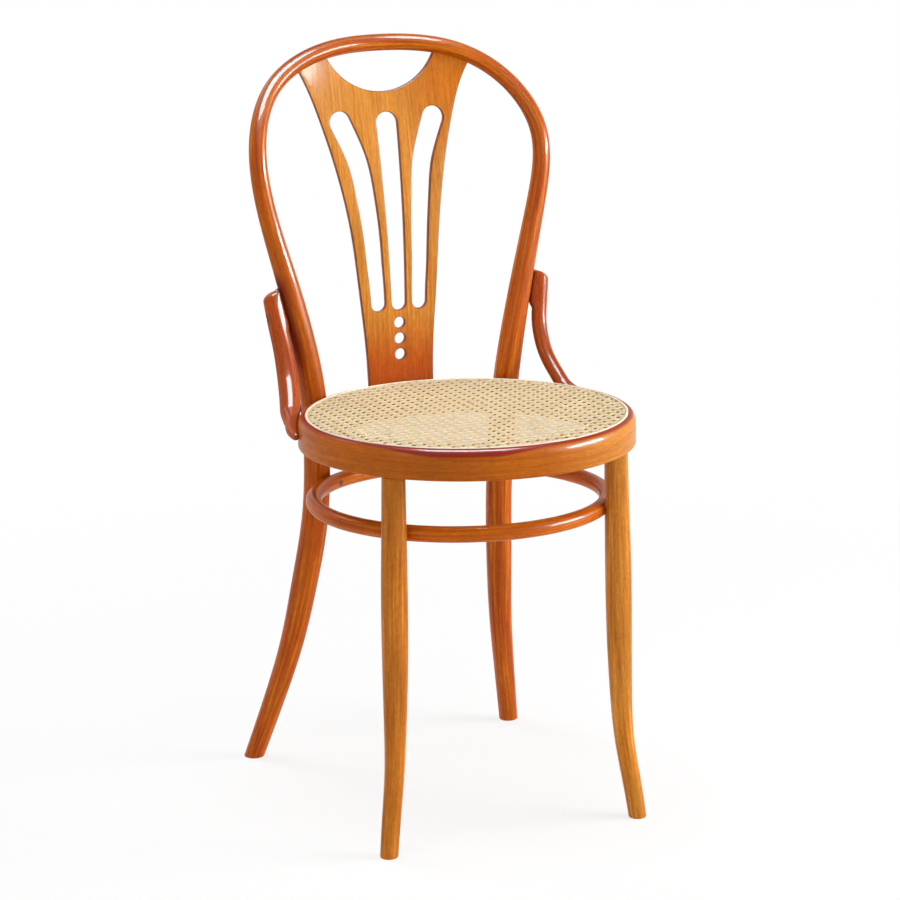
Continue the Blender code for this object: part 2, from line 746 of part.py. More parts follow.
def slot_outline(side):
    """A slot with round ends; the outer two spread as they rise, the middle one is lower."""
    count = len(SLOT_SPREAD_SHARES)
    share = np.linspace(0, 1, count)
    half = (SLOT_FOOT_WIDTH + (SLOT_HEAD_WIDTH - SLOT_FOOT_WIDTH) * share) / 2
    low = SPLAT_FOOT + SLOT_BOTTOM + half[0]
    high = HOOP_HEIGHT - SLOT_TOP_DROP - half[-1]
    if side == 0:
        high -= MIDDLE_SLOT_DROP
    z = low + (high - low) * share
    x = side * SPLAT_HORN_HALF_WIDTH * smooth_line(SLOT_SPREAD_SHARES, 1)
    middle = np.stack([x, z], 1)
    along = np.gradient(middle, axis=0)
    along /= np.linalg.norm(along, axis=1)[:, None]
    across = np.stack([along[:, 1], -along[:, 0]], 1)
    points = list(middle + across * half[:, None])
    points += end_arc(middle[-1], across[-1], along[-1], half[-1])
    points += list((middle - across * half[:, None])[::-1])
    points += end_arc(middle[0], -across[0], -along[0], half[0])
    return points


def end_arc(centre, across, along, radius):
    """The inner points of a half circle from one side of a slot to the other."""
    steps = 6
    points = []
    for step in range(1, steps):
        angle = math.pi * step / steps
        points.append(centre + radius * (across * math.cos(angle) + along * math.sin(angle)))
    return points


def circle(x, z, radius, sides):
    angles = np.linspace(0, 2 * math.pi, sides, endpoint=False)
    return [(x + radius * math.cos(a), z + radius * math.sin(a)) for a in angles]


def splat_openings(grow):
    """Outlines of the splat's half-moon, slots and round holes; grow draws the moon in."""
    moon_z = HOOP_HEIGHT + MOON_RADIUS - MOON_DROP
    outlines = [circle(0, moon_z, MOON_RADIUS - grow, 40)]
    if grow:
        return outlines
    for side in (-1, 0, 1):
        outlines.append(slot_outline(side))
    for number in range(3):
        z = SPLAT_FOOT + SLOT_BOTTOM - SPLAT_HOLE_DROP - number * SPLAT_HOLE_PITCH
        outlines.append(circle(0, z, SPLAT_HOLE_DIAMETER / 2, 14))
    return outlines


def splat(name, grow, wood, parent):
    """The bent splat; with a clearance to grow by, the tool that cuts its groove in the hoop."""
    thickness = SPLAT_THICKNESS + 2 * grow
    board = splat_board(name, thickness, wood, parent)
    edge = prisms(name + "_edge", [splat_outline(grow)], thickness, parent)
    cut(board, edge, "INTERSECT")
    cut(board, prisms(name + "_openings", splat_openings(grow), thickness, parent))
    return bend_board(board)


def bolted_leg(word, side, hoop, ring, steel, parent):
    """Bolt, washer and nut that clamp a rear leg against the seat ring."""
    x, y, _ = hoop_axis(side, RING_MIDDLE)
    distance = math.hypot(x, y)
    outward = Vector((x / distance, y / distance, 0))

    head_seat = distance + hoop_radius(RING_MIDDLE) - SPOT_FACE_DEPTH
    washer_seat = RING_INSIDE + SPOT_FACE_DEPTH
    washer_end = washer_seat - CLEARANCE - WASHER_THICKNESS
    nut_end = washer_end - CLEARANCE - NUT_THICKNESS
    bolt_end = nut_end - BOLT_END_BEYOND_NUT
    shank = BOLT_DIAMETER / 2
    dome = BOLT_HEAD_DIAMETER / 2
    base = head_seat + CLEARANCE

    profile = [
        (shank - BOLT_CHAMFER, bolt_end),
        (shank, bolt_end + BOLT_CHAMFER),
        (shank, base),
    ]
    for across, height in BOLT_HEAD_SHARES:
        profile.append((dome * across, base + BOLT_HEAD_HEIGHT * height))
    centre = Vector((0, 0, RING_MIDDLE))
    bolt = turned("seat_bolt_" + word, profile, SCREW_SIDES, steel, parent)
    aim(bolt, centre, outward)

    bore = shank + CLEARANCE
    washer_rim = WASHER_DIAMETER / 2
    washer = turned("seat_washer_" + word, [
        (bore, washer_end), (washer_rim, washer_end),
        (washer_rim, washer_seat - CLEARANCE), (bore, washer_seat - CLEARANCE),
    ], SCREW_SIDES, steel, parent, closed=True)
    aim(washer, centre, outward)

    nut = hex_nut("seat_nut_" + word, bore, nut_end, washer_end - CLEARANCE, steel, parent)
    aim(nut, centre, outward)

    reach = [(bore, nut_end), (bore, base + OVERRUN)]
    hole = turned("seat_bolt_hole_" + word, reach, SCREW_SIDES, None, parent)
    aim(hole, centre, outward)
    cut(hoop, hole)
    cut(ring, hole)
    pocket = [(washer_rim + CLEARANCE, nut_end), (washer_rim + CLEARANCE, washer_seat)]
    spot = turned("seat_washer_pocket_" + word, pocket, SCREW_SIDES, None, parent)
    aim(spot, centre, outward)
    cut(ring, spot)
    recess = [(dome + CLEARANCE, head_seat), (dome + CLEARANCE, base + OVERRUN)]
    face = turned("seat_bolt_recess_" + word, recess, SCREW_SIDES, None, parent)
    aim(face, centre, outward)
    cut(hoop, face)


def hex_nut(name, bore, low, high, steel, parent):
    """A six-sided nut with a round bore, both worked out on the same twelve rays."""
    rays = 12
    corner = NUT_WIDTH / 2 / math.cos(math.pi / 6)
    vertices = []
    for height in (low, high):
        for ray in range(rays):
            angle = 2 * math.pi * ray / rays
            reach = corner if ray % 2 == 0 else NUT_WIDTH / 2
            vertices.append((reach * math.cos(angle), reach * math.sin(angle), height))
        for ray in range(rays):
            angle = 2 * math.pi * ray / rays
            vertices.append((bore * math.cos(angle), bore * math.sin(angle), height))
    faces = []
    outer_low, inner_low, outer_high, inner_high = 0, rays, 2 * rays, 3 * rays
    for ray in range(rays):
        after = (ray + 1) % rays
        faces.append((outer_low + ray, outer_low + after, outer_high + after, outer_high + ray))
        faces.append((inner_low + after, inner_low + ray, inner_high + ray, inner_high + after))
        faces.append((outer_high + ray, outer_high + after, inner_high + after, inner_high + ray))
        faces.append((outer_low + after, outer_low + ray, inner_low + ray, inner_low + after))
    return new_object(name, vertices, faces, steel, parent, smooth=False)


def stretcher_screws(ring, legs, steel, parent):
    """One screw from the ring's inside into each leg."""
    radius, set_back = stretcher_circle()
    centre = np.array((0, set_back, STRETCHER_HEIGHT))
    inside = radius - STRETCHER_DIAMETER / 2 + HEAD_SINK
    for word, axis, leg in legs:
        outward = axis - centre
        outward[2] = 0
        outward /= np.linalg.norm(outward)
        place = centre + outward * inside
        name = "stretcher_screw_" + word
        screw(name, place, outward, STRETCHER_SCREW_LENGTH, steel, parent, (ring, leg))


def brace_screws(word, side, strut, hoop, ring, steel, parent):
    """One screw through the brace's top into the hoop, one through its foot into the ring."""
    line, radii = brace_line(side)
    length = BRACE_SCREW_LENGTH
    top = len(line) - 4
    inward = hoop_axis(side, line[top][2]) - line[top]
    inward /= np.linalg.norm(inward)
    place = line[top] - inward * (radii[top] - HEAD_SINK)
    screw("brace_top_screw_" + word, place, inward, length, steel, parent, (strut, hoop))
    foot = 4
    inward = np.array((-line[foot][0], -line[foot][1], 0))
    inward /= np.linalg.norm(inward)
    place = line[foot] - inward * (radii[foot] - HEAD_SINK)
    screw("brace_foot_screw_" + word, place, inward, length, steel, parent, (strut, ring))


def splat_screws(plank, ring, steel, parent):
    """Two screws from behind through the splat's foot into the seat ring."""
    face = SPLAT_FOOT_FACE + SPLAT_THICKNESS - HEAD_SINK
    for word, side in (("left", -1), ("right", 1)):
        place = (side * SPLAT_SCREW_SPACING / 2, face, RING_MIDDLE)
        name = "splat_screw_" + word
        screw(name, place, (0, -1, 0), SPLAT_SCREW_LENGTH, steel, parent, (plank, ring))


def fit_hoop(hoop, groove, parent):
    """Notches the hoop for the seat ring and the stretcher ring, and grooves it for the splat."""
    radius = SEAT_RADIUS + CLEARANCE
    band = [(radius, RING_BOTTOM - CLEARANCE), (radius, SEAT_TOP + CLEARANCE)]
    cut(hoop, turned("ring_seat_cut", band, RING_SEGMENTS, None, parent))
    cut(hoop, groove)


def stand_on_floor(chair):
    """Moves the chair so that the middle of its floor plan is at the origin."""
    bpy.context.view_layer.update()
    graph = bpy.context.evaluated_depsgraph_get()
    low = np.full(3, np.inf)
    high = np.full(3, -np.inf)
    for obj in bpy.data.objects:
        if obj.type != "MESH" or obj.hide_render:
            continue
        placed = obj.evaluated_get(graph)
        for corner in placed.bound_box:
            point = np.array(placed.matrix_world @ Vector(corner))
            low = np.minimum(low, point)
            high = np.maximum(high, point)
    middle = (low + high) / 2
    chair.location = (-middle[0], -middle[1], -low[2])


def build_chair():
    remove_scene_objects()
    chair = bpy.data.objects.new("chair", None)
    bpy.context.collection.objects.link(chair)

    beech = principled("lacquered_beech", (0.42, 0.115, 0.018), 0.28)
    plywood = principled("splat_plywood", (0.52, 0.165, 0.030), 0.28)
    cane = principled("cane", (0.74, 0.58, 0.36), 0.6)
    reed = principled("reed", (0.80, 0.68, 0.46), 0.55)
    steel = principled("dark_steel", (0.09, 0.085, 0.08), 0.4, metal=True)

    ring = seat_ring(beech, chair)
    cane_panel(cane, chair)
    cane_spline(reed, chair)
    hoop = back_hoop(beech, chair)
    stretcher = torus("stretcher_ring", 0, beech, chair)
    saddle = torus("stretcher_saddle", CLEARANCE, None, chair)
    plank = splat("splat", 0, plywood, chair)
    fit_hoop(hoop, splat("splat_groove", CLEARANCE, None, chair), chair)
    cut(hoop, saddle)

    flat = SEAT_RADIUS - SPLAT_FLAT_DEPTH
    outline = [(-RING_WIDTH, flat), (RING_WIDTH, flat),
               (RING_WIDTH, SEAT_RADIUS + OVERRUN), (-RING_WIDTH, SEAT_RADIUS + OVERRUN)]
    corners = [(x, y, RING_BOTTOM - OVERRUN) for x, y in outline]
    corners += [(x, y, SEAT_TOP + OVERRUN) for x, y in outline]
    cut(ring, new_object("splat_flat", corners, stack_faces(2, 4), None, chair, smooth=False))

    legs = []
    for word, side in (("left", -1), ("right", 1)):
        leg = front_leg("front_leg_" + word, side, beech, chair)
        cut(ring, tenon_bore("tenon_bore_" + word, side, chair))
        cut(leg, saddle)
        share = STRETCHER_HEIGHT / RING_BOTTOM
        legs.append(("front_" + word, front_leg_axis(side, share), leg))
        legs.append(("rear_" + word, hoop_axis(side, STRETCHER_HEIGHT), hoop))
    stretcher_screws(stretcher, legs, steel, chair)

    line, radii = hoop_line()
    hoop_space = round_member("hoop_space", line, radii + CLEARANCE, None, chair)
    ring_space = turned("ring_space", [
        (SEAT_RADIUS + CLEARANCE, RING_BOTTOM - CLEARANCE),
        (SEAT_RADIUS + CLEARANCE, SEAT_TOP + CLEARANCE),
    ], RING_SEGMENTS, None, chair)
    for word, side in (("left", -1), ("right", 1)):
        strut = brace("brace_" + word, side, beech, chair)
        cut(strut, hoop_space)
        cut(strut, ring_space)
        brace_screws(word, side, strut, hoop, ring, steel, chair)
        bolted_leg(word, side, hoop, ring, steel, chair)
    splat_screws(plank, ring, steel, chair)
    stand_on_floor(chair)


build_chair()
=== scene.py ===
"""Looks of the bentwood side chair with the round cane seat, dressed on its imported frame.

The sections follow the chair as it is put together: hoop, seat ring, cane, reed, legs,
stretcher, splat, braces, screws and bolts, then the floor, the lamps and the camera.
"""

import math

import bmesh
import bpy
import numpy as np
from mathutils import Matrix, Vector
from mathutils.geometry import delaunay_2d_cdt


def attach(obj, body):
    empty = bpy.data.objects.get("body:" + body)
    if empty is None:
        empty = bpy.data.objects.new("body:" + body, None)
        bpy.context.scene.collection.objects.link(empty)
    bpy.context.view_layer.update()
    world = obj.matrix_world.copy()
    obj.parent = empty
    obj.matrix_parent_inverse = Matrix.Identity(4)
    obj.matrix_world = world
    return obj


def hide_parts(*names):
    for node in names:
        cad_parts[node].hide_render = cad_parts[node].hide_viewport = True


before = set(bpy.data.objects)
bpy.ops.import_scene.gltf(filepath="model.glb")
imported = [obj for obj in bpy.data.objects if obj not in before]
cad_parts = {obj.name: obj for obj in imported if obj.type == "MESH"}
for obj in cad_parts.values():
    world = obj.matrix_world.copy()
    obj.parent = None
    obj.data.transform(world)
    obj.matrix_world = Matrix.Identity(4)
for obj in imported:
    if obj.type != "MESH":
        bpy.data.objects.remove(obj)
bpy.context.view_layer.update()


# Back hoop
# One long beech rod, steam-bent into the back's arch and both rear legs. It is thickest just
# below the seat, is notched a little for the two rings, and is stained and lacquered.

SEAT_CENTRE_Y = -0.04612
SEAT_TOP = 0.469
SEAT_RADIUS = 0.1925
RING_BOTTOM = 0.434
GAP = 0.0003
STRETCHER_RADIUS = 0.168555
STRETCHER_ROD = 0.0092
STRETCHER_CENTRE = (0.0, -0.02486, 0.3641)
FOOT_ROUND = 0.0018
LEVEL_STATIONS = 8
COAT_WEIGHT = 0.13

# Side, depth, height and radius from the right foot up to the crest
HOOP_KNOTS = np.array((
    (0.1711, 0.2268, 0.0000, 0.0116),
    (0.1533, 0.1990, 0.0778, 0.0126),
    (0.1373, 0.1731, 0.1574, 0.0141),
    (0.1265, 0.1512, 0.2404, 0.0156),
    (0.1189, 0.1327, 0.3243, 0.0157),
    (0.1195, 0.1226, 0.4142, 0.0155),
    (0.1285, 0.1182, 0.4998, 0.0148),
    (0.1492, 0.1223, 0.5967, 0.0128),
    (0.1701, 0.1288, 0.6788, 0.0111),
    (0.1777, 0.1384, 0.7592, 0.0102),
    (0.1443, 0.1739, 0.8241, 0.0097),
    (0.0784, 0.1963, 0.8587, 0.0098),
    (0.0000, 0.2118, 0.8656, 0.0099),
))


def smooth_line(knots, steps):
    """Points on the natural cubic spline through evenly counted knots. Within a span the curve
    is the straight mix of its two ends plus the cubes of both shares times the bends there."""
    knots = np.asarray(knots, float)
    count = len(knots)
    rows = np.arange(1, count - 1)
    system = np.eye(count)
    system[rows, rows - 1], system[rows, rows], system[rows, rows + 1] = 1, 4, 1
    change = np.zeros_like(knots)
    change[1:-1] = 6 * (knots[2:] - 2 * knots[1:-1] + knots[:-2])
    bend = np.linalg.solve(system, change)
    place = np.linspace(0, count - 1, (count - 1) * steps + 1)
    span = np.minimum(place.astype(int), count - 2)
    after = (place - span).reshape((-1,) + (1,) * (knots.ndim - 1))
    before = 1 - after
    start, end = knots[span] - bend[span] / 6, knots[span + 1] - bend[span + 1] / 6
    curve = (bend[span] * before ** 3 + bend[span + 1] * after ** 3) / 6
    return curve + start * before + end * after


def unit(vectors):
    """Vectors divided by their own lengths."""
    return vectors / np.linalg.norm(vectors, axis=-1, keepdims=True)


def rounded_start(line, radii, rounding, level, steps=6):
    """Puts a rounded edge at a rod's first point: a quarter circle in the plane of the way
    along and the radius. A level edge is measured along the height instead. The rod's own
    points within the edge's length, and a tenth more, give way to it."""
    angle = np.linspace(0, math.pi / 2, steps)
    ahead = line[1] - line[0]
    ahead = ahead / (abs(ahead[2]) if level else np.linalg.norm(ahead))
    edge = line[0] + np.outer(rounding * (1 - np.cos(angle)), ahead)
    sizes = radii[0] - rounding * (1 - np.sin(angle))
    beyond = np.linalg.norm(line - line[0], axis=1) > 1.1 * rounding * np.linalg.norm(ahead)
    return np.vstack((edge, line[beyond])), np.concatenate((sizes, radii[beyond]))


def rounded_ends(smooth, foot, head, level=True):
    """A rod's line and radii with both edges rounded, now running from its head to its foot."""
    line, radii = rounded_start(smooth[:, :3], smooth[:, 3], foot, level)
    return rounded_start(line[::-1], radii[::-1], head, level)


def rod(line, radii, towards, sides, level=0, closed=False):
    """A circle carried along a path: each point is the path's point plus the radius times
    cosine and sine of the angle along two directions square to the path. The first of them
    is the fixed direction `towards` less its part along the path. The first and last `level`
    stations are slid along the path until they lie level.
    Gives the grid of points and the wood's own grid: across, across, and length along it."""
    ahead = np.gradient(line, axis=0)
    if closed:
        ahead = np.roll(line, -1, 0) - np.roll(line, 1, 0)
    ahead = unit(ahead)
    first = unit(towards - ahead * (ahead @ towards)[:, None])
    second = np.cross(ahead, first)
    angle = np.linspace(0, 2 * math.pi, sides, endpoint=False)
    across = np.cos(angle)[None, :, None] * first[:, None]
    across = across + np.sin(angle)[None, :, None] * second[:, None]
    across *= np.asarray(radii)[:, None, None]
    station = np.arange(len(line))
    flat = (station < level) | (station >= len(line) - level)
    slide = np.where(flat[:, None], across[:, :, 2] / np.where(flat, ahead[:, 2], 1)[:, None], 0)
    points = line[:, None] + across - slide[:, :, None] * ahead[:, None]
    steps = np.linalg.norm(np.diff(line, axis=0), axis=1)
    if closed:
        steps = np.append(steps, np.linalg.norm(line[0] - line[-1]))
        radii = np.append(radii, radii[0])
    length = np.concatenate(((0,), np.cumsum(steps)))
    wood = np.empty((len(length), sides, 3))
    wood[:, :, 0] = np.outer(radii, np.cos(angle))
    wood[:, :, 1] = np.outer(radii, np.sin(angle))
    wood[:, :, 2] = length[:, None]
    return points, wood


def skin(points, wood, closed=False, sharp=35):
    """A closed mesh over a grid of points (rows by sides), or over several such grids at once.
    Each square of the grid is a face; an open grid's two ends are closed by a fan to the
    middle of their last row. An edge that turns by more than `sharp` degrees stays sharp.
    Face corners carry the attribute `grain`, the wood's own place."""
    if points.ndim == 3:
        points, wood = points[None], wood[None]
    tubes, rows, sides, _ = points.shape
    row, side = np.indices((rows if closed else rows - 1, sides))
    beside, above = (side + 1) % sides, (row + 1) % rows
    quads = np.stack((row * sides + side, row * sides + beside, above * sides + beside,
                      above * sides + side), -1).reshape(-1, 4)
    corners = np.stack((row * sides + side, row * sides + beside, (row + 1) * sides + beside,
                        (row + 1) * sides + side), -1).reshape(-1, 4)
    per_tube = rows * sides
    places, grain = points.reshape(tubes, -1, 3), wood.reshape(tubes, -1, 3)
    fans = np.zeros((0, 3), int)
    if not closed:
        ring = np.arange(sides)
        around, last = (ring + 1) % sides, (rows - 1) * sides
        fans = np.concatenate((
            np.stack((around, ring, np.full(sides, per_tube)), -1),
            np.stack((last + ring, last + around, np.full(sides, per_tube + 1)), -1)))
        places = np.concatenate((places, points[:, :1].mean(2), points[:, -1:].mean(2)), 1)
        grain = np.concatenate((grain, wood[:, :1].mean(2), wood[:, -1:].mean(2)), 1)
        per_tube += 2
    offset = np.arange(tubes)[:, None, None]
    four = (quads[None] + offset * per_tube).reshape(-1)
    three = (fans[None] + offset * per_tube).reshape(-1)
    where = np.arange(tubes)[:, None]
    four_grain = grain[where, corners.reshape(-1)[None]].reshape(-1, 3)
    three_grain = grain[where, fans.reshape(-1)[None]].reshape(-1, 3)
    corner = np.concatenate((four, three))
    sizes = np.concatenate((np.full(len(four) // 4, 4), np.full(len(three) // 3, 3)))
    starts = np.concatenate(((0,), np.cumsum(sizes)[:-1]))
    places = places.reshape(-1, 3)
    a, b, c = places[corner[starts]], places[corner[starts + 1]], places[corner[starts + 2]]
    d = places[corner[starts + sizes - 1]]
    volume = (np.cross(a, b) * c).sum() + (np.cross(a, c) * d)[sizes == 4].sum()
    grains = np.concatenate((four_grain, three_grain))
    if volume < 0:
        begin, size = np.repeat(starts, sizes), np.repeat(sizes, sizes)
        flip = 2 * begin + size - 1 - np.arange(len(corner))
        corner, grains = corner[flip], grains[flip]
    mesh = bpy.data.meshes.new("skin")
    mesh.vertices.add(len(places))
    mesh.vertices.foreach_set("co", places.astype(np.float32).ravel())
    mesh.loops.add(len(corner))
    mesh.loops.foreach_set("vertex_index", corner.astype(np.int32))
    mesh.polygons.add(len(starts))
    mesh.polygons.foreach_set("loop_start", starts.astype(np.int32))
    mesh.update(calc_edges=True)
    field = mesh.attributes.new("grain", "FLOAT_VECTOR", "CORNER")
    field.data.foreach_set("vector", grains.astype(np.float32).ravel())
    mesh.shade_smooth()
    if sharp:
        mesh.set_sharp_from_angle(angle=math.radians(sharp))
    return mesh


def in_scene(name, data):
    """A new object in the scene."""
    made = bpy.data.objects.new(name, data)
    bpy.context.scene.collection.objects.link(made)
    return made


def set_piece(name, mesh, material, node_name):
    """Puts a finished mesh on the chair in place of its plain CAD node."""
    mesh.name = name
    mesh.materials.clear()
    mesh.materials.append(material)
    piece = in_scene(name, mesh)
    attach(piece, "root")
    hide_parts(node_name)
    return piece


def clear_of_seat_ring(points):
    """Moves what lies inside the seat ring's outer wall straight out to the wall."""
    x, y = points[..., 0], points[..., 1] - SEAT_CENTRE_Y
    distance = np.hypot(x, y)
    wall = SEAT_RADIUS + GAP
    inside = (distance < wall) & (points[..., 2] > RING_BOTTOM - GAP)
    inside &= points[..., 2] < SEAT_TOP + GAP
    share = np.where(inside, wall / distance, 1)
    points[..., 0] = x * share
    points[..., 1] = y * share + SEAT_CENTRE_Y
    return points


def clear_of_stretcher(points):
    """Moves what lies inside the stretcher's rod straight away from the rod's centre circle."""
    away = points - np.array(STRETCHER_CENTRE)
    flat = np.hypot(away[..., 0], away[..., 1])
    inward = flat - STRETCHER_RADIUS
    distance = np.hypot(inward, away[..., 2])
    wall = STRETCHER_ROD + GAP
    share = np.where(distance < wall, wall / np.maximum(distance, 1e-6), 1)
    ring = (STRETCHER_RADIUS + inward * share) / np.maximum(flat, 1e-6)
    points[..., 0] = away[..., 0] * ring + STRETCHER_CENTRE[0]
    points[..., 1] = away[..., 1] * ring + STRETCHER_CENTRE[1]
    points[..., 2] = away[..., 2] * share + STRETCHER_CENTRE[2]
    return points


def set_inputs(made, **settings):
    """Sets a node's own settings and its inputs by name, or an input by number where a name
    ends in one. A number or colour is written, and a socket is linked."""
    for key, value in settings.items():
        if hasattr(made, key):
            setattr(made, key, value)
            continue
        number = key.rsplit("_", 1)[-1]
        socket = made.inputs[int(number) if number.isdigit() else key.replace("_", " ")]
        if isinstance(value, bpy.types.NodeSocket):
            made.id_data.links.new(value, socket)
        else:
            socket.default_value = value


def node(tree, kind, **settings):
    """A shader node with its settings and inputs."""
    made = tree.nodes.new("ShaderNode" + kind)
    set_inputs(made, **settings)
    return made


def new_material(name):
    """A material, its nodes and its shader."""
    material = bpy.data.materials.new(name)
    material.use_nodes = True
    return material, material.node_tree, material.node_tree.nodes["Principled BSDF"]


def worked(tree, operation, first, second=0.0):
    """One or two values worked into one."""
    return node(tree, "Math", operation=operation, Input_0=first, Input_1=second).outputs[0]


def spread(tree, value, start, end, low, high, smooth=True):
    """A value's stretch from start to end carried over to the stretch from low to high, and
    held there beyond both."""
    return node(tree, "MapRange", Value=value, From_Min=start, From_Max=end, To_Min=low,
                To_Max=high, interpolation_type="SMOOTHSTEP" if smooth else "LINEAR").outputs[0]


def part_of(tree, vector, number):
    """One of the three numbers of a vector."""
    return node(tree, "SeparateXYZ", Vector=vector).outputs[number]


def own_place(tree):
    """The wood's own place, which the attribute `grain` holds."""
    return node(tree, "Attribute", attribute_name="grain").outputs["Vector"]


def noise(tree, place, stretch, detail, scale=1.0, distortion=0.0):
    """Noise on a place that is first stretched by three factors."""
    stretched = node(tree, "Mapping", Vector=place, Scale=stretch).outputs[0]
    return node(tree, "TexNoise", Vector=stretched, Scale=scale, Detail=detail,
                Distortion=distortion).outputs[0]


def bumps(tree, height, strength, distance):
    """Small bumps in the surface where a value is high."""
    return node(tree, "Bump", Strength=strength, Distance=distance, Height=height).outputs[0]


def scaled(tree, colour, share):
    """A colour times a share."""
    return node(tree, "VectorMath", operation="SCALE", Input_0=colour, Scale=share).outputs[0]


def laid_over(tree, below, colour, share, way="MIX"):
    """A colour laid over another one by a share."""
    return node(tree, "Mix", data_type="RGBA", blend_type=way, Factor=share, Input_6=below,
                Input_7=(*colour, 1)).outputs[2]


def colour_under(shader):
    """The colour that feeds the shader so far."""
    return shader.inputs["Base Color"].links[0].from_socket


def tones(tree, share, *stops):
    """A smooth colour ramp; each stop is a place from 0 to 1 and a colour."""
    ramp = node(tree, "ValToRGB", Fac=share)
    ramp.color_ramp.interpolation = "EASE"
    for number, (place, colour) in enumerate(stops):
        if number < 2:
            stop = ramp.color_ramp.elements[number]
            stop.position = place
        else:
            stop = ramp.color_ramp.elements.new(place)
        stop.color = (*colour, 1)
    return ramp.outputs[0]


def lacquered_wood(name, dark, mid, pale, flecks=0.5, bands=300):
    """Stained wood under clear lacquer. Soft bands lie across the grain and run far along it,
    fine fibres, a close mottle and short dark flecks lie over them, and the stain is uneven
    over a hand's width. The lacquer is a clear coat that hardly shows the fibres."""
    material, tree, shader = new_material(name)
    grain = own_place(tree)

    def streaks(scale, along, detail, distortion=0.0):
        """Noise drawn out along the wood: `along` is the share of its fineness kept there."""
        return noise(tree, grain, (1, 1, along), detail, scale, distortion)

    fibres = streaks(scale=1500, along=0.05, detail=4)
    mottle = streaks(scale=430, along=0.3, detail=2)
    cloud = streaks(scale=14, along=0.45, detail=2)
    broad = streaks(scale=bands, along=0.03, detail=2, distortion=0.3)
    wood = tones(tree, broad, (0.28, dark), (0.74, pale), (0.5, mid))
    shade = spread(tree, fibres, 0.3, 0.7, 0.88, 1.10, smooth=False)
    for uneven, low, high in ((mottle, 0.90, 1.10), (cloud, 0.88, 1.12)):
        uneven = spread(tree, uneven, 0.3, 0.7, low, high, smooth=False)
        shade = worked(tree, "MULTIPLY", shade, uneven)
    fleck = spread(tree, streaks(scale=1250, along=0.22, detail=2), 0.62, 0.70, 0.0, flecks,
                   smooth=False)
    darkest = [part * 0.45 for part in dark]
    set_inputs(
        shader, Base_Color=laid_over(tree, scaled(tree, wood, shade), darkest, fleck),
        Roughness=spread(tree, fibres, 0.0, 1.0, 0.30, 0.42, smooth=False),
        Normal=bumps(tree, fibres, strength=0.2, distance=0.0002),
        Coat_Normal=bumps(tree, cloud, strength=0.05, distance=0.001),
        Specular_IOR_Level=0.06, Coat_Weight=COAT_WEIGHT, Coat_Roughness=0.06, Coat_IOR=1.5)
    return material


red_beech = lacquered_wood(
    "red_lacquered_beech", dark=(0.32, 0.042, 0.001), mid=(0.435, 0.083, 0.001),
    pale=(0.60, 0.165, 0.004))

hoop_knots = np.vstack((HOOP_KNOTS * (-1, 1, 1, 1), HOOP_KNOTS[-2::-1]))
hoop_smooth = smooth_line(hoop_knots, steps=18)
hoop_line, hoop_radii = hoop_smooth[:, :3], hoop_smooth[:, 3]
line, radii = rounded_ends(hoop_smooth, FOOT_ROUND, FOOT_ROUND)
points, wood = rod(line, radii, towards=(0, 1, 0), sides=40, level=LEVEL_STATIONS)
points = clear_of_stretcher(clear_of_seat_ring(points))
hoop = set_piece("hoop_of_bent_beech", skin(points, wood), red_beech, "back_hoop")


# Seat ring
# A hoop of solid beech lying flat, its ends joined by a long glued scarf at the back. Its
# top edge is well rounded, and a groove near it holds the cane under its reed.

RING_HEIGHT = SEAT_TOP - RING_BOTTOM
RING_INSIDE = 0.1525
GROOVE_OUTSIDE = 0.1842
GROOVE_INSIDE = 0.1786
GROOVE_DEPTH = 0.0072
CANE_THICKNESS = 0.0013
TOP_ROUND_WIDTH = 0.0076
TOP_ROUND_HEIGHT = 0.0125
EDGE_ROUND = 0.002
SPLAT_FLAT = 0.191
THIN_COAT = 0.03
# Direction and offset by which the painted shade on the ring's top edge runs lower at the left
# front
TOP_SHADE_ACROSS = (0.92, -0.40, 0.0)
TOP_SHADE_OFFSET = 0.015


def quarter(radius, height, wide, high, start, steps):
    """A quarter of an ellipse about a centre in the plane of radius and height: cosine of the
    angle times its width outwards, sine of the angle times its height upwards."""
    angle = np.radians(start) + np.linspace(0, math.pi / 2, steps)
    return np.stack((radius + wide * np.cos(angle), height + high * np.sin(angle)), 1)


def carried_round(profile, sides):
    """A closed profile of (radius, height) carried once round the upright axis through the
    seat's middle, with heights from the seat's top. Gives the points and the wood's own grid,
    whose length runs round the ring."""
    angle = math.pi / 2 + np.linspace(0, 2 * math.pi, sides + 1)
    radius, height = profile[:, 0], profile[:, 1]
    points = np.stack((
        np.outer(np.cos(angle[:-1]), radius),
        np.outer(np.sin(angle[:-1]), radius) + SEAT_CENTRE_Y,
        np.broadcast_to(height, (sides, len(height))) + SEAT_TOP), -1)
    wood = np.stack(np.broadcast_arrays(
        radius[None, :], height[None, :], (angle * radius.mean())[:, None]), -1)
    return points, wood


land = -CANE_THICKNESS - GAP
ring_profile = np.vstack((
    quarter(SEAT_RADIUS - EDGE_ROUND, EDGE_ROUND - RING_HEIGHT, EDGE_ROUND, EDGE_ROUND,
            start=-90, steps=7),
    quarter(SEAT_RADIUS - TOP_ROUND_WIDTH, -TOP_ROUND_HEIGHT, TOP_ROUND_WIDTH,
            TOP_ROUND_HEIGHT, start=0, steps=18),
    ((GROOVE_OUTSIDE, 0), (GROOVE_OUTSIDE, -GROOVE_DEPTH), (GROOVE_INSIDE, -GROOVE_DEPTH),
     (GROOVE_INSIDE, land)),
    quarter(RING_INSIDE + EDGE_ROUND, land - EDGE_ROUND, EDGE_ROUND, EDGE_ROUND,
            start=90, steps=7),
    quarter(RING_INSIDE + EDGE_ROUND, EDGE_ROUND - RING_HEIGHT, EDGE_ROUND, EDGE_ROUND,
            start=180, steps=7),
))
points, wood = carried_round(ring_profile, sides=288)
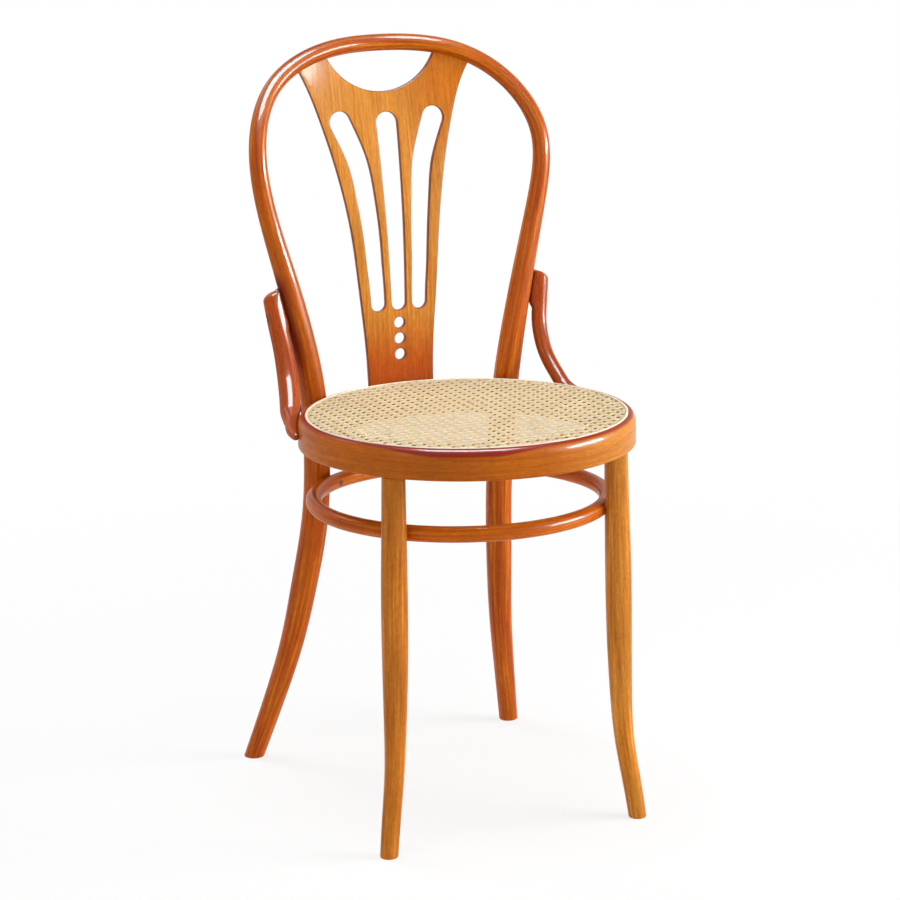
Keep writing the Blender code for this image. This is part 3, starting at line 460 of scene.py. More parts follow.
points[..., 1] = np.minimum(points[..., 1], SPLAT_FLAT + SEAT_CENTRE_Y)

# The ring's colour is painted paler towards its right side: painted light from the lamps at the
# right. A painted dark band along its top edge, which height on the ring tells, is painted shade
# and dark reflection in the rounded edge, and it is painted lowest at the left front. The coat
# is thin on the top
ring_beech = lacquered_wood(
    "ring_lacquered_beech", dark=(0.37, 0.076, 0.001), mid=(0.43, 0.100, 0.002),
    pale=(0.49, 0.126, 0.003), flecks=0.6)
tree = ring_beech.node_tree
shader = tree.nodes["Principled BSDF"]
place = node(tree, "TexCoord").outputs["Object"]
height = part_of(tree, own_place(tree), 1)
# Painted shade and dark reflection: a dark band along the top edge, reaching lowest at the left
# front
aside = node(tree, "VectorMath", operation="DOT_PRODUCT", Input_0=place,
             Input_1=TOP_SHADE_ACROSS).outputs["Value"]
aside = worked(tree, "ABSOLUTE", worked(tree, "SUBTRACT", aside, TOP_SHADE_OFFSET))
top_shade_drop = spread(tree, aside, 0.03, 0.10, 0.0050, -0.0008)
painted_top_shade = spread(tree, worked(tree, "ADD", height, top_shade_drop), -0.0046, -0.0016, 0.0, 0.94)
# Painted light: the colour turns paler towards the right, where the lamps stand
painted_right_light = spread(tree, part_of(tree, place, 0), 0.0, 0.13, 0.0, 1.0)
lit_right_colour = laid_over(tree, colour_under(shader), (1.18, 1.75, 6.0), painted_right_light, "MULTIPLY")
set_inputs(shader, Base_Color=laid_over(tree, lit_right_colour, (0.27, 0.010, 0.001), painted_top_shade),
           Coat_Weight=spread(tree, height, -0.0014, -0.0008, COAT_WEIGHT, THIN_COAT))
set_piece("ring_of_bent_beech", skin(points, wood, closed=True), ring_beech,
          "seat_ring")


# Cane panel
# Machine-woven cane in the usual six-way weave: pairs of strands run front to back and side
# to side, and single strands cross on both diagonals, which leaves eight-sided holes. Its
# rim is wetted, pressed down into the ring's groove, and dries taut.

MESH_ACROSS = 0.0118
MESH_DEEP = 0.0127
PAIR_SHARE = 0.354
STRAND_THICKNESS = 0.00042
STRAIGHT_WIDTH = 0.0035
SLANT_WIDTH = 0.0038
WEAVE_LIFT = 0.00014
SLANT_LIFT = 0.00052
CANE_RADIUS = 0.1797
TURN_DOWN = 0.005
TURN_OUT = 0.0004
RIM_ROOM = 0.004
CANE_MIDDLE = SEAT_TOP - CANE_THICKNESS / 2
# Painted light: the bright amber laid on the strands' edges, which lightens the shaded holes
PAINTED_HOLE_AMBER = (0.97, 0.58, 0.22)


def strands(middles, direction, lift, width, samples, seed):
    """Flat strands, each a six-sided profile carried along a straight line over the seat. The
    line runs between the two places where it meets the rim's circle, rises and falls by
    `lift` of its place, and turns down at both ends. Gives points and the cane's own grid:
    across the strand, a number of its own, and length along it."""
    direction = unit(np.asarray(direction, float))
    sideways = np.array((-direction[1], direction[0]))
    half = np.sqrt(CANE_RADIUS ** 2 - middles ** 2)
    share = np.concatenate(((-1, -1), np.linspace(-1, 1, samples), (1, 1)))
    down = np.concatenate(((TURN_DOWN, TURN_DOWN / 2), np.zeros(samples),
                           (TURN_DOWN / 2, TURN_DOWN)))
    out = np.concatenate(((TURN_OUT, TURN_OUT * 0.75), np.zeros(samples),
                          (TURN_OUT * 0.75, TURN_OUT)))
    along = half[:, None] * share + out * share
    x = sideways[0] * middles[:, None] + direction[0] * along
    y = sideways[1] * middles[:, None] + direction[1] * along
    z = lift(x, y) * (down == 0) - down
    profile = np.array(((-0.5, 0), (-0.36, 0.5), (0.36, 0.5), (0.5, 0), (0.36, -0.5),
                        (-0.36, -0.5))) * (width, STRAND_THICKNESS)
    points = np.empty(x.shape + (6, 3))
    points[..., 0] = x[..., None] + sideways[0] * profile[:, 0]
    points[..., 1] = y[..., None] + sideways[1] * profile[:, 0] + SEAT_CENTRE_Y
    points[..., 2] = z[..., None] + profile[:, 1] + CANE_MIDDLE
    own = np.random.default_rng(seed).random(len(middles))
    cane = np.empty_like(points)
    cane[..., 0] = profile[:, 0]
    cane[..., 1] = own[:, None, None]
    cane[..., 2] = (along + own[:, None] * 3)[..., None]
    return points, cane


def wave(place):
    """A sine with flattened crests, one turn for each mesh of the weave."""
    return np.clip(1.26 * np.sin(2 * math.pi * place), -1, 1)


def kept_off_rim(middles):
    """Whether a strand's middle is far enough from the rim for it to cross the seat."""
    return np.abs(middles) < CANE_RADIUS - RIM_ROOM


def pairs(mesh):
    """Middles of the strands that run in pairs, and for each whether it starts over or under."""
    count = int(CANE_RADIUS / mesh) + 1
    numbers = np.arange(-count, count + 1)
    middles = np.concatenate((numbers + PAIR_SHARE, numbers - PAIR_SHARE)) * mesh
    over = np.concatenate((np.ones(len(numbers)), -np.ones(len(numbers))))
    kept = kept_off_rim(middles)
    return middles[kept], over[kept, None]


def slants():
    """Middles of one set of diagonal strands: half steps of the way between two diagonals,
    which is the mesh's two sides multiplied and divided by its own diagonal."""
    spacing = MESH_ACROSS * MESH_DEEP / math.hypot(MESH_ACROSS, MESH_DEEP)
    count = int(CANE_RADIUS / spacing) + 1
    middles = (np.arange(-count, count) + 0.5) * spacing
    return middles[kept_off_rim(middles)]


def slant_lift(x):
    """The diagonal's wave, flat on its crests: the cosine of the way across, one turn a mesh."""
    return SLANT_LIFT * np.tanh(2.5 * np.cos(2 * math.pi * x / MESH_ACROSS)) / math.tanh(2.5)


def dry_cane(name, dark, mid, pale, rough, level, edge=None):
    """The shiny skin of rattan: fine fibres along the strand, slow changes of straw colour
    from strand to strand and along each, and the darker ring of a leaf knot here and there.
    A strand's edges, `edge` from its middle, are painted bright amber there: painted light that
    stands in for the lit wood seen through the holes and lightens their shaded walls."""
    material, tree, shader = new_material(name)
    grain = own_place(tree)
    fibres = noise(tree, grain, (3200, 900, 60), detail=2)
    blotch = noise(tree, grain, (0, 900, 22), detail=3)
    knots = noise(tree, grain, (0, 900, 55), detail=0)
    straw = tones(tree, blotch, (0.28, dark), (0.75, pale), (0.5, mid))
    streak = spread(tree, fibres, 0.3, 0.7, 0.90, 1.07, smooth=False)
    knot = spread(tree, knots, 0.72, 0.76, 1.0, 0.72, smooth=False)
    toned = scaled(tree, straw, worked(tree, "MULTIPLY", streak, knot))
    if edge:
        # Painted light: the edges turn bright amber, so the shaded hole walls look lit
        across = worked(tree, "ABSOLUTE", part_of(tree, grain, 0))
        cut = spread(tree, across, edge * 0.80, edge * 0.96, 0.0, 1.0)
        toned = laid_over(tree, toned, PAINTED_HOLE_AMBER, cut)
    set_inputs(
        shader, Base_Color=toned,
        Roughness=spread(tree, blotch, 0.0, 1.0, rough, rough + 0.15, smooth=False),
        Normal=bumps(tree, fibres, strength=0.3, distance=0.0001),
        Specular_IOR_Level=level)
    return material


straight_cane, slant_cane = [
    dry_cane(name, dark=(0.67, 0.54, 0.32), mid=(0.74, 0.61, 0.385), pale=(0.80, 0.68, 0.45),
             rough=0.5, level=0.06, edge=width / 2)
    for name, width in (("cane", STRAIGHT_WIDTH), ("slant_cane", SLANT_WIDTH))]
lengthwise, length_over = pairs(MESH_ACROSS)
crosswise, cross_over = pairs(MESH_DEEP)
sets_of_strands = (
    ("cane_front_to_back", straight_cane, lengthwise, (0, -1), STRAIGHT_WIDTH, 240, 11,
     lambda x, y: length_over * wave(y / MESH_DEEP) * WEAVE_LIFT),
    ("cane_side_to_side", straight_cane, crosswise, (1, 0), STRAIGHT_WIDTH, 240, 12,
     lambda x, y: -cross_over * wave(x / MESH_ACROSS) * WEAVE_LIFT),
    ("cane_slant_left", slant_cane, slants(), (MESH_ACROSS, -MESH_DEEP), SLANT_WIDTH, 210, 13,
     lambda x, y: -slant_lift(x)),
    ("cane_slant_right", slant_cane, slants(), (MESH_ACROSS, MESH_DEEP), SLANT_WIDTH, 210, 14,
     lambda x, y: slant_lift(x)))
for name, material, middles, direction, width, samples, seed, lift in sets_of_strands:
    points, own = strands(middles, direction, lift, width, samples, seed)
    set_piece(name, skin(points, own, sharp=0), material, "cane_panel")


# Reed spline
# A split reed, glued and tapped into the groove over the rim of the cane. It stands a little
# proud of the seat and is crowned; its two ends meet at the back.

REED_INSIDE = 0.1808
REED_OUTSIDE = 0.1839
REED_CROWN = 0.0008
REED_BOTTOM = 0.0069
REED_TAPER = 0.0004
REED_TONE = 0.37

crown = np.linspace(0, math.pi, 9)
half = (REED_OUTSIDE - REED_INSIDE) / 2
reed_profile = np.vstack((
    ((REED_INSIDE + REED_TAPER, -REED_BOTTOM), (REED_OUTSIDE - REED_TAPER, -REED_BOTTOM)),
    np.stack((REED_INSIDE + half + half * np.cos(crown), REED_CROWN * np.sin(crown)), 1),
))
points, own = carried_round(reed_profile, sides=256)
own = np.stack((own[..., 0], np.full_like(own[..., 0], REED_TONE), own[..., 2]), -1)
reed = dry_cane("reed", dark=(0.76, 0.63, 0.44), mid=(0.84, 0.73, 0.54),
                pale=(0.90, 0.81, 0.64), rough=0.40, level=0.12)
set_piece("reed_spline", skin(points, own, closed=True, sharp=60), reed, "cane_spline")


# Front legs
# Turned from straight beech and steam-bent to kick out at the foot. The widest place is at
# two thirds of the height, and a rounded shoulder stands against the seat ring.

LEG_KNOTS = np.array((
    (0.1548, -0.1706, 0.0000, 0.0102),
    (0.1494, -0.1662, 0.0434, 0.0107),
    (0.1426, -0.1608, 0.0954, 0.0113),
    (0.1395, -0.1583, 0.1561, 0.0130),
    (0.1381, -0.1572, 0.2255, 0.0146),
    (0.1374, -0.1566, 0.2949, 0.0150),
    (0.1364, -0.1558, 0.3643, 0.0141),
    (0.1355, -0.1550, 0.4337, 0.0132),
))
SHOULDER_ROUND = 0.003
# Tones of the two legs: the right leg's are paler, painted light from the lamps at the right
LEG_TONES_WITH_PAINTED_LIGHT = {
    "left": ((0.36, 0.090, 0.004), (0.47, 0.143, 0.009), (0.60, 0.210, 0.022)),
    "right": ((0.41, 0.120, 0.006), (0.52, 0.184, 0.017), (0.66, 0.270, 0.040))}
SIDES = (("left", -1), ("right", 1))

for word, side in SIDES:
    smooth = smooth_line(LEG_KNOTS * (side, 1, 1, 1), steps=10)
    line, radii = rounded_ends(smooth, FOOT_ROUND, SHOULDER_ROUND)
    points, wood = rod(line, radii, towards=(side, 0, 0), sides=44, level=LEVEL_STATIONS)
    # Each piece takes its grain from another length of the wood
    wood[..., 2] += side
    beech = lacquered_wood(word + "_leg_lacquered_beech", *LEG_TONES_WITH_PAINTED_LIGHT[word])
    set_piece("turned_leg_" + word, skin(clear_of_stretcher(points), wood), beech,
              "front_leg_" + word)


# Stretcher ring
# A thinner beech rod bent to a full circle. It lies in shallow saddles on the inner side of
# all four legs and is screwed to them.

HEAD_SUNK = 0.0009
RECESS_RADIUS = 0.0041
RECESS_FLOOR = 0.0012
RECESS_REACH = 0.005
FACE_DEPTH = 0.0002


def points_of(mesh):
    """The places of a mesh's points, one row each."""
    places = np.empty(len(mesh.vertices) * 3, np.float32)
    mesh.vertices.foreach_get("co", places)
    return places.reshape(-1, 3)


def axis_of(name):
    """Where a screw's or bolt's head ends, which way it faces, and how long it is, from its CAD
    node: the axis is the direction in which the node's points spread most, and the head is
    at the end whose points lie further from it."""
    places = points_of(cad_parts[name].data).astype(float)
    middle = (places.max(0) + places.min(0)) / 2
    axis = np.linalg.svd(places - places.mean(0), full_matrices=False)[2][0]
    along = (places - middle) @ axis
    off = np.linalg.norm(places - middle - along[:, None] * axis, axis=1)
    if off[along > 0].max() < off[along < 0].max():
        axis, along = -axis, -along
    low, high = along.min(), along.max()
    end = places[along > high - FACE_DEPTH].mean(0)
    return end, axis, high - low


def recessed(points, *names):
    """Sinks a flat-bottomed round recess into the wood under each screw's head. Height along
    the screw's axis is cut off just below the head's rim, and off the axis the cut rises
    three times as fast as it goes outwards."""
    for name in names:
        end, axis, _ = axis_of(name)
        height = (points - end) @ axis
        off = np.linalg.norm(points - end - height[..., None] * axis, axis=-1)
        floor = 3 * np.maximum(off - RECESS_RADIUS, 0) - RECESS_FLOOR
        over = np.where(np.abs(height) < RECESS_REACH, np.maximum(height - floor, 0), 0)
        points = points - over[..., None] * axis
    return points


angle = np.radians(90) + np.linspace(0, 2 * math.pi, 720, endpoint=False)
line = np.stack((np.cos(angle), np.sin(angle), 0 * angle), 1) * STRETCHER_RADIUS
line = line + STRETCHER_CENTRE
radii = np.full(len(line), STRETCHER_ROD)
points, wood = rod(line, radii, towards=(0, 0, 1), sides=48, closed=True)
wood[..., 2] += 5
stretcher_beech = lacquered_wood(
    "stretcher_lacquered_beech", dark=(0.34, 0.050, 0.001), mid=(0.46, 0.092, 0.001),
    pale=(0.58, 0.145, 0.003))
points = recessed(points, "stretcher_screw_front_left", "stretcher_screw_front_right",
                  "stretcher_screw_rear_left", "stretcher_screw_rear_right")
set_piece("ring_between_legs", skin(points, wood, closed=True), stretcher_beech,
          "stretcher_ring")


# Splat
# Bent plywood with an upright face veneer, sawn with three slots, three round holes and a
# half-moon hand hold. Its horns stand in a groove of the hoop; its foot is screwed to the ring.

SPLAT_FOOT = 0.4367
SPLAT_HEIGHT = 0.428
SPLAT_FOOT_Y = 0.1943 + SEAT_CENTRE_Y
SPLAT_THICKNESS = 0.006
SPLAT_EDGE_ROUND = 0.0008
PLY_PITCH = 0.0024
NET_SPACING = 0.005
NET_REACH = 0.12
SAME_POINT = 1e-7
SPLAT_LEAN = 0.06366
SPLAT_BOW = 0.02431
BOW_START = 0.65
HORN_HALF_WIDTH = 0.110
TONGUE = 0.0045
HOOP_HEIGHT = 0.8647
MOON_RADIUS = 0.0752
MOON_DROP = 0.055
SLOT_BOTTOM = 0.117
SLOT_TOP_DROP = 0.0745
SLOT_FOOT_WIDTH = 0.0183
SLOT_HEAD_WIDTH = 0.0268
MIDDLE_SLOT_DROP = 0.0038
HOLE_DIAMETER = 0.0135
HOLE_PITCH = 0.019
HOLE_DROP = 0.015
LEAN_SHARES = (0.0, 0.045, 0.075, 0.100, 0.135, 0.195, 0.290, 0.415, 0.570, 0.775, 1.0)
WIDTH_SHARES = (0.373, 0.376, 0.396, 0.432, 0.468, 0.509, 0.571, 0.654, 0.760, 0.897, 1.11)
SPREAD_SHARES = (0.237, 0.245, 0.259, 0.269, 0.281, 0.298, 0.319, 0.343, 0.385, 0.455, 0.536)


def at_share(shares, share):
    """The smooth line through evenly spaced values, read off at shares of its length."""
    smooth = smooth_line(shares, 24)
    return np.interp(share, np.linspace(0, 1, len(smooth)), smooth)


def splat_y(x, z):
    """Depth of the board's middle: it leans back by its lean shares, less a bow that grows
    with the square of the height above its start and with the square of the side."""
    share = np.clip((z - SPLAT_FOOT) / SPLAT_HEIGHT, 0, None)
    bow = np.clip((share - BOW_START) / (1 - BOW_START), 0, None) ** 2
    lean = at_share(LEAN_SHARES, share) * SPLAT_LEAN
    return SPLAT_FOOT_Y + lean - SPLAT_BOW * bow * (x / HORN_HALF_WIDTH) ** 2


def board_edge():
    """The board's edge: up one side, along a tongue just inside the hoop, down round the
    half-moon, along the other tongue, and down the other side."""
    x, z = hoop_line[:, 0], hoop_line[:, 2]
    slope = unit(np.stack((np.gradient(x), np.gradient(z)), 1))
    inset = hoop_radii - TONGUE
    x, z = x + slope[:, 1] * inset, z - slope[:, 0] * inset
    share = (z - SPLAT_FOOT) / SPLAT_HEIGHT
    moon_z = HOOP_HEIGHT + MOON_RADIUS - MOON_DROP
    on_board = (np.abs(x) < at_share(WIDTH_SHARES, share) * HORN_HALF_WIDTH) & (share > 0.5)
    on_board &= np.hypot(x, z - moon_z) > MOON_RADIUS
    left = on_board & (x < 0)
    tongue = np.stack((x[left], z[left]), 1)
    heights = np.linspace(SPLAT_FOOT, tongue[0, 1], 130)[:-1]
    sides = at_share(WIDTH_SHARES, (heights - SPLAT_FOOT) / SPLAT_HEIGHT) * HORN_HALF_WIDTH
    from_x, from_z = tongue[-1]
    begin = math.atan2(from_z - moon_z, from_x)
    begin = begin + 2 * math.pi if begin < 0 else begin
    sweep = np.linspace(begin, 3 * math.pi - begin, 64)[1:-1]
    moon = np.stack((MOON_RADIUS * np.cos(sweep), moon_z + MOON_RADIUS * np.sin(sweep)), 1)
    up = np.vstack((np.stack((-sides, heights), 1), tongue))
    foot = np.linspace(-sides[0], sides[0], 40)[1:-1]
    foot = np.stack((foot[::-1], np.full(len(foot), SPLAT_FOOT)), 1)
    return np.vstack((up, moon, (up * (-1, 1))[::-1], foot))


def slot_edge(side):
    """A slot: two sides half its width from its middle line, and a half circle at each end."""
    share = np.linspace(0, 1, 70)
    half = (SLOT_FOOT_WIDTH + (SLOT_HEAD_WIDTH - SLOT_FOOT_WIDTH) * share) / 2
    low = SPLAT_FOOT + SLOT_BOTTOM + half[0]
    high = HOOP_HEIGHT - SLOT_TOP_DROP - half[-1] - (MIDDLE_SLOT_DROP if side == 0 else 0)
    x = side * HORN_HALF_WIDTH * at_share(SPREAD_SHARES, share)
    middle = np.stack((x, low + (high - low) * share), 1)
    along = unit(np.gradient(middle, axis=0))
    across = np.stack((along[:, 1], -along[:, 0]), 1)
    turn = np.linspace(0, math.pi, 22)[1:-1, None]
    head = middle[-1] + half[-1] * (across[-1] * np.cos(turn) + along[-1] * np.sin(turn))
    foot = middle[0] - half[0] * (across[0] * np.cos(turn) + along[0] * np.sin(turn))
    return np.vstack((middle + across * half[:, None], head,
                      (middle - across * half[:, None])[::-1], foot))


def drawn_in(outline, distance):
    """An outline moved into the wood. Each point moves along the middle of its two sides'
    directions, by the distance over the cosine of half the angle between them."""
    side = unit(np.roll(outline, -1, 0) - outline)
    before = np.roll(side, 1, 0)
    turned = np.stack((side[:, 1] + before[:, 1], -side[:, 0] - before[:, 0]), 1)
    return outline + distance * turned / (1 + (side * before).sum(1))[:, None]


def inside(points, outlines):
    """Whether each point lies in the wood: a line from it crosses the outlines an odd number
    of times."""
    crossings = np.zeros(len(points), int)
    for outline in outlines:
        start, end = outline[None], np.roll(outline, -1, 0)[None]
        x, z = points[:, None, 0], points[:, None, 1]
        spans = (start[..., 1] > z) != (end[..., 1] > z)
        rise = np.where(spans, end[..., 1] - start[..., 1], 1)
        meet = start[..., 0] + (z - start[..., 1]) / rise * (end[..., 0] - start[..., 0])
        crossings += (spans & (x < meet)).sum(1)
    return crossings % 2 == 1


def area(outline):
    """Signed area of an outline, positive when it runs counter-clockwise."""
    after = np.roll(outline, -1, 0)
    return (outline[:, 0] * after[:, 1] - after[:, 0] * outline[:, 1]).sum() / 2


def board(outlines, thickness, rounding):
    """A flat board with rounded edges. Both faces are one net of triangles between the
    outlines, each drawn in by the rounding; a strip of squares carries every outline from
    the front face round its edge to the back face, a quarter circle at each."""
    outlines = [outline if (area(outline) < 0) == (number == 0) else outline[::-1]
                for number, outline in enumerate(outlines)]
    edges = [drawn_in(outline, rounding) for outline in outlines]
    starts = np.cumsum([0] + [len(edge) for edge in edges])
    heights = np.arange(SPLAT_FOOT, SPLAT_FOOT + SPLAT_HEIGHT, NET_SPACING)
    x, z = np.meshgrid(np.arange(-NET_REACH, NET_REACH, NET_SPACING), heights)
    grid = np.stack((x.ravel(), z.ravel()), 1)
    rim = np.vstack(edges)
    apart = np.linalg.norm(grid[:, None] - rim[None], axis=2).min(1)
    grid = grid[(apart > NET_SPACING * 0.5) & inside(grid, edges)]
    flat = np.vstack((rim, grid))
    loops = np.concatenate([np.stack((np.arange(a, b), np.roll(np.arange(a, b), -1)), 1)
                            for a, b in zip(starts[:-1], starts[1:])])
    net, _, triangles, came_from, _, _ = delaunay_2d_cdt(
        flat.tolist(), loops.tolist(), [], 1, SAME_POINT)
    net, triangles = np.array(net), np.array(triangles)
    triangles = triangles[inside(net[triangles].mean(1), edges)]
    home = np.zeros(len(flat), int)
    home[np.concatenate(came_from)] = np.repeat(
        np.arange(len(net)), np.fromiter(map(len, came_from), int))
    count = len(net)
    half = thickness / 2
    faces = triangles.tolist() + (triangles[:, ::-1] + count).tolist()
    vertices = [np.insert(net, 1, -half, 1), np.insert(net, 1, half, 1)]
    turn = np.linspace(0, math.pi / 2, 5)
    depth = np.concatenate((-half + rounding * (1 - np.cos(turn[1:])),
                            half - rounding * (1 - np.cos(turn[:0:-1]))))
    inset = rounding * (1 - np.concatenate((np.sin(turn[1:]), np.sin(turn[:0:-1]))))
    total = 2 * count
    for outline, a, b in zip(outlines, starts[:-1], starts[1:]):
        size = b - a
        for back, draw in zip(depth, inset):
            vertices.append(np.insert(drawn_in(outline, draw), 1, back, 1))
        index = total + np.arange(len(depth) * size).reshape(-1, size)
        front = home[a:b]
        index = np.vstack((front, index, front + count))
        beside = np.roll(index, -1, 1)
        faces += np.stack((index[:-1], beside[:-1], beside[1:], index[1:]), -1).reshape(
            -1, 4).tolist()
        total += len(depth) * size
    return np.vstack(vertices), faces, 2 * len(triangles)


holes = [slot_edge(side) for side in (-1, 0, 1)]
turn = np.linspace(0, 2 * math.pi, 40, endpoint=False)
for number in range(3):
    z = SPLAT_FOOT + SLOT_BOTTOM - HOLE_DROP - number * HOLE_PITCH
    holes.append(np.stack((np.cos(turn), np.sin(turn)), 1) * HOLE_DIAMETER / 2 + (0, z))
flat, faces, faced = board([board_edge()] + holes, SPLAT_THICKNESS, SPLAT_EDGE_ROUND)
bent = flat.copy()
bent[:, 1] += splat_y(flat[:, 0], flat[:, 2])
mesh = bpy.data.meshes.new("splat_of_bent_plywood")
mesh.from_pydata(bent.tolist(), [], faces)
field = mesh.attributes.new("grain", "FLOAT_VECTOR", "POINT")
field.data.foreach_set("vector", flat.astype(np.float32).ravel())
shell = bmesh.new()
shell.from_mesh(mesh)
bmesh.ops.recalc_face_normals(shell, faces=shell.faces)
shell.to_mesh(mesh)
shell.free()
mesh.shade_smooth()
mesh.set_sharp_from_angle(angle=math.radians(50))

# The face veneer is painted redder and darker towards the foot, below the round holes, as
# painted shade where the board meets the seat, and it is a little darker and redder towards the
# horn at the right
veneer = lacquered_wood(
    "lacquered_veneer", dark=(0.49, 0.165, 0.012), mid=(0.57, 0.213, 0.024),
    pale=(0.65, 0.265, 0.040), flecks=0.2, bands=420)
tree = veneer.node_tree
shader = tree.nodes["Principled BSDF"]
place = own_place(tree)
height = part_of(tree, place, 2)
# Painted shade: the veneer darkens and reddens towards the foot
low = spread(tree, height, SPLAT_FOOT + 0.042, SPLAT_FOOT + 0.130, 1.0, 0.0)
outward = spread(tree, part_of(tree, place, 0), 0.0, 0.07, 0.0, 1.0)
high = spread(tree, height, SPLAT_FOOT + 0.24, SPLAT_FOOT + 0.38, 0.0, 1.0)
with_foot_shade = laid_over(tree, colour_under(shader), (0.78, 0.36, 0.12), low, "MULTIPLY")
deeper = laid_over(tree, with_foot_shade, (0.88, 0.66, 0.30), worked(tree, "MULTIPLY", outward, high),
                   "MULTIPLY")
set_inputs(shader, Base_Color=deeper, Coat_Weight=0.08, Coat_Roughness=0.18)

# The sawn edge shows the plies one by one, under a duller coat that sank into the end grain
sawn = lacquered_wood(
    "sawn_plies", dark=(0.22, 0.030, 0.002), mid=(0.30, 0.050, 0.003),
    pale=(0.40, 0.085, 0.006), flecks=0.3)
tree = sawn.node_tree
shader = tree.nodes["Principled BSDF"]
depth = worked(tree, "MULTIPLY", part_of(tree, own_place(tree), 1), 2 * math.pi / PLY_PITCH)
layer = spread(tree, worked(tree, "SINE", depth), -0.4, 0.4, 0.7, 1.15, smooth=False)
set_inputs(shader, Base_Color=scaled(tree, colour_under(shader), layer), Coat_Weight=0.2,
           Coat_Roughness=0.3)
set_piece("splat_of_bent_plywood", mesh, veneer, "splat")
mesh.materials.append(sawn)
mesh.polygons.foreach_set("material_index", (np.arange(len(faces)) >= faced).astype(np.int32))


# Braces
# Two short bent rods that stop the back from racking. Each lies along the side of the seat
# ring with a tapered foot, bends up, and stands against the outer side of the hoop.

BRACE_KNOTS = {
    "left": np.array((
        (0.1902, -0.0011, 0.4490, 0.0040),
        (0.1871, 0.0203, 0.4518, 0.0068),
        (0.1806, 0.0390, 0.4560, 0.0086),
        (0.1751, 0.0582, 0.4630, 0.0111),
        (0.1708, 0.0698, 0.4725, 0.0121),
        (0.1652, 0.0892, 0.4919, 0.0121),
        (0.1631, 0.1025, 0.5123, 0.0118),
        (0.1635, 0.1117, 0.5325, 0.0113),
        (0.1661, 0.1175, 0.5529, 0.0109),
        (0.1685, 0.1223, 0.5731, 0.0106),
        (0.1703, 0.1276, 0.5963, 0.0105),
    )),
    "right": np.array((
        (0.1902, -0.0011, 0.4490, 0.0040),
        (0.1871, 0.0203, 0.4504, 0.0073),
        (0.1806, 0.0390, 0.4540, 0.0088),
        (0.1739, 0.0582, 0.4615, 0.0090),
        (0.1703, 0.0698, 0.4717, 0.0088),
        (0.1654, 0.0892, 0.4919, 0.0087),
        (0.1636, 0.1025, 0.5123, 0.0089),
        (0.1645, 0.1117, 0.5325, 0.0090),
        (0.1677, 0.1175, 0.5529, 0.0091),
        (0.1708, 0.1223, 0.5731, 0.0095),
        (0.1728, 0.1268, 0.5925, 0.0099),
    ))}
BRACE_END_ROUND = 0.003
BRACE_END_SLANT = 0.5
SLANT_LENGTH = 0.034
HUG_START = 0.547
HUG_REACH = 0.0055
HUG_RISE = 0.010
# Reach and depth of the painted shade in the crease where brace and hoop meet
SHADE_REACH_ON_BRACE = 0.005
SHADE_REACH_ON_HOOP = 0.018
CORNER_SHADE = 0.9
CORNER_SEARCH = 0.05


def laid_on_hoop(points):
    """Fits a brace's end to the hoop. What lies inside the hoop moves straight out to its wall.
    Above the start of the fit, what lies within reach of the wall moves onto it, and a gap of
    up to twice the reach narrows in step, so that the end swells against the hoop."""
    places = points.reshape(-1, 3)
    away = places[:, None] - hoop_line[None]
    distance = np.linalg.norm(away, axis=2)
    nearest = distance.argmin(1)
    number = np.arange(len(places))
    away, distance = away[number, nearest], distance[number, nearest]
    wall = hoop_radii[nearest] + GAP
    gap = distance - wall
    hold = np.clip((places[:, 2] - HUG_START) / HUG_RISE, 0, 1)
    hold = hold * hold * (3 - 2 * hold)
    drawn = hold * np.clip(np.minimum(gap, 2 * HUG_REACH - gap), 0, None)
    fitted = wall + np.maximum(gap - drawn, 0)
    return (hoop_line[nearest] + away * (fitted / distance)[:, None]).reshape(points.shape)


def mark_corner_shade(mesh, middles, radii, reach):
    """Writes the attribute `corner`, the share of painted shade where the rods meet: 1 where a
    point touches the neighbouring rod, falling to 0 at the given distance from the rod's wall.
    The distance is the least over the rod's middles, less the radius there. Only points near the
    rod's box are measured."""
    places = points_of(mesh)
    near = (places > middles.min(0) - CORNER_SEARCH) & (places < middles.max(0) + CORNER_SEARCH)
    near = near.all(1)
    gap = np.full(len(places), np.inf)
    gap[near] = (np.linalg.norm(places[near][:, None] - middles[None], axis=2)
                 - radii[None]).min(1)
    field = mesh.attributes.get("corner") or mesh.attributes.new("corner", "FLOAT", "POINT")
    before = np.empty(len(places), np.float32)
    field.data.foreach_get("value", before)
    field.data.foreach_set("value", np.maximum(
        before, np.clip(1 - gap / reach, 0, 1).astype(np.float32)))


def paint_corner_shade(material, colour):
    """Where the attribute `corner` rises, painted shade darkens the colour in the crease where
    the rods meet, and the coat is thinner.
    """
    tree = material.node_tree
    shader = tree.nodes["Principled BSDF"]
    corner = node(tree, "Attribute", attribute_name="corner").outputs["Fac"]
    share = spread(tree, corner, 0.0, 0.9, 0.0, CORNER_SHADE)
    set_inputs(shader, Base_Color=laid_over(tree, colour_under(shader), colour, share),
               Coat_Weight=spread(tree, share, 0.0, 1.0, COAT_WEIGHT, THIN_COAT, smooth=False))


brace_beech = lacquered_wood(
    "brace_lacquered_beech", dark=(0.27, 0.030, 0.001), mid=(0.37, 0.054, 0.001),
    pale=(0.46, 0.088, 0.002))
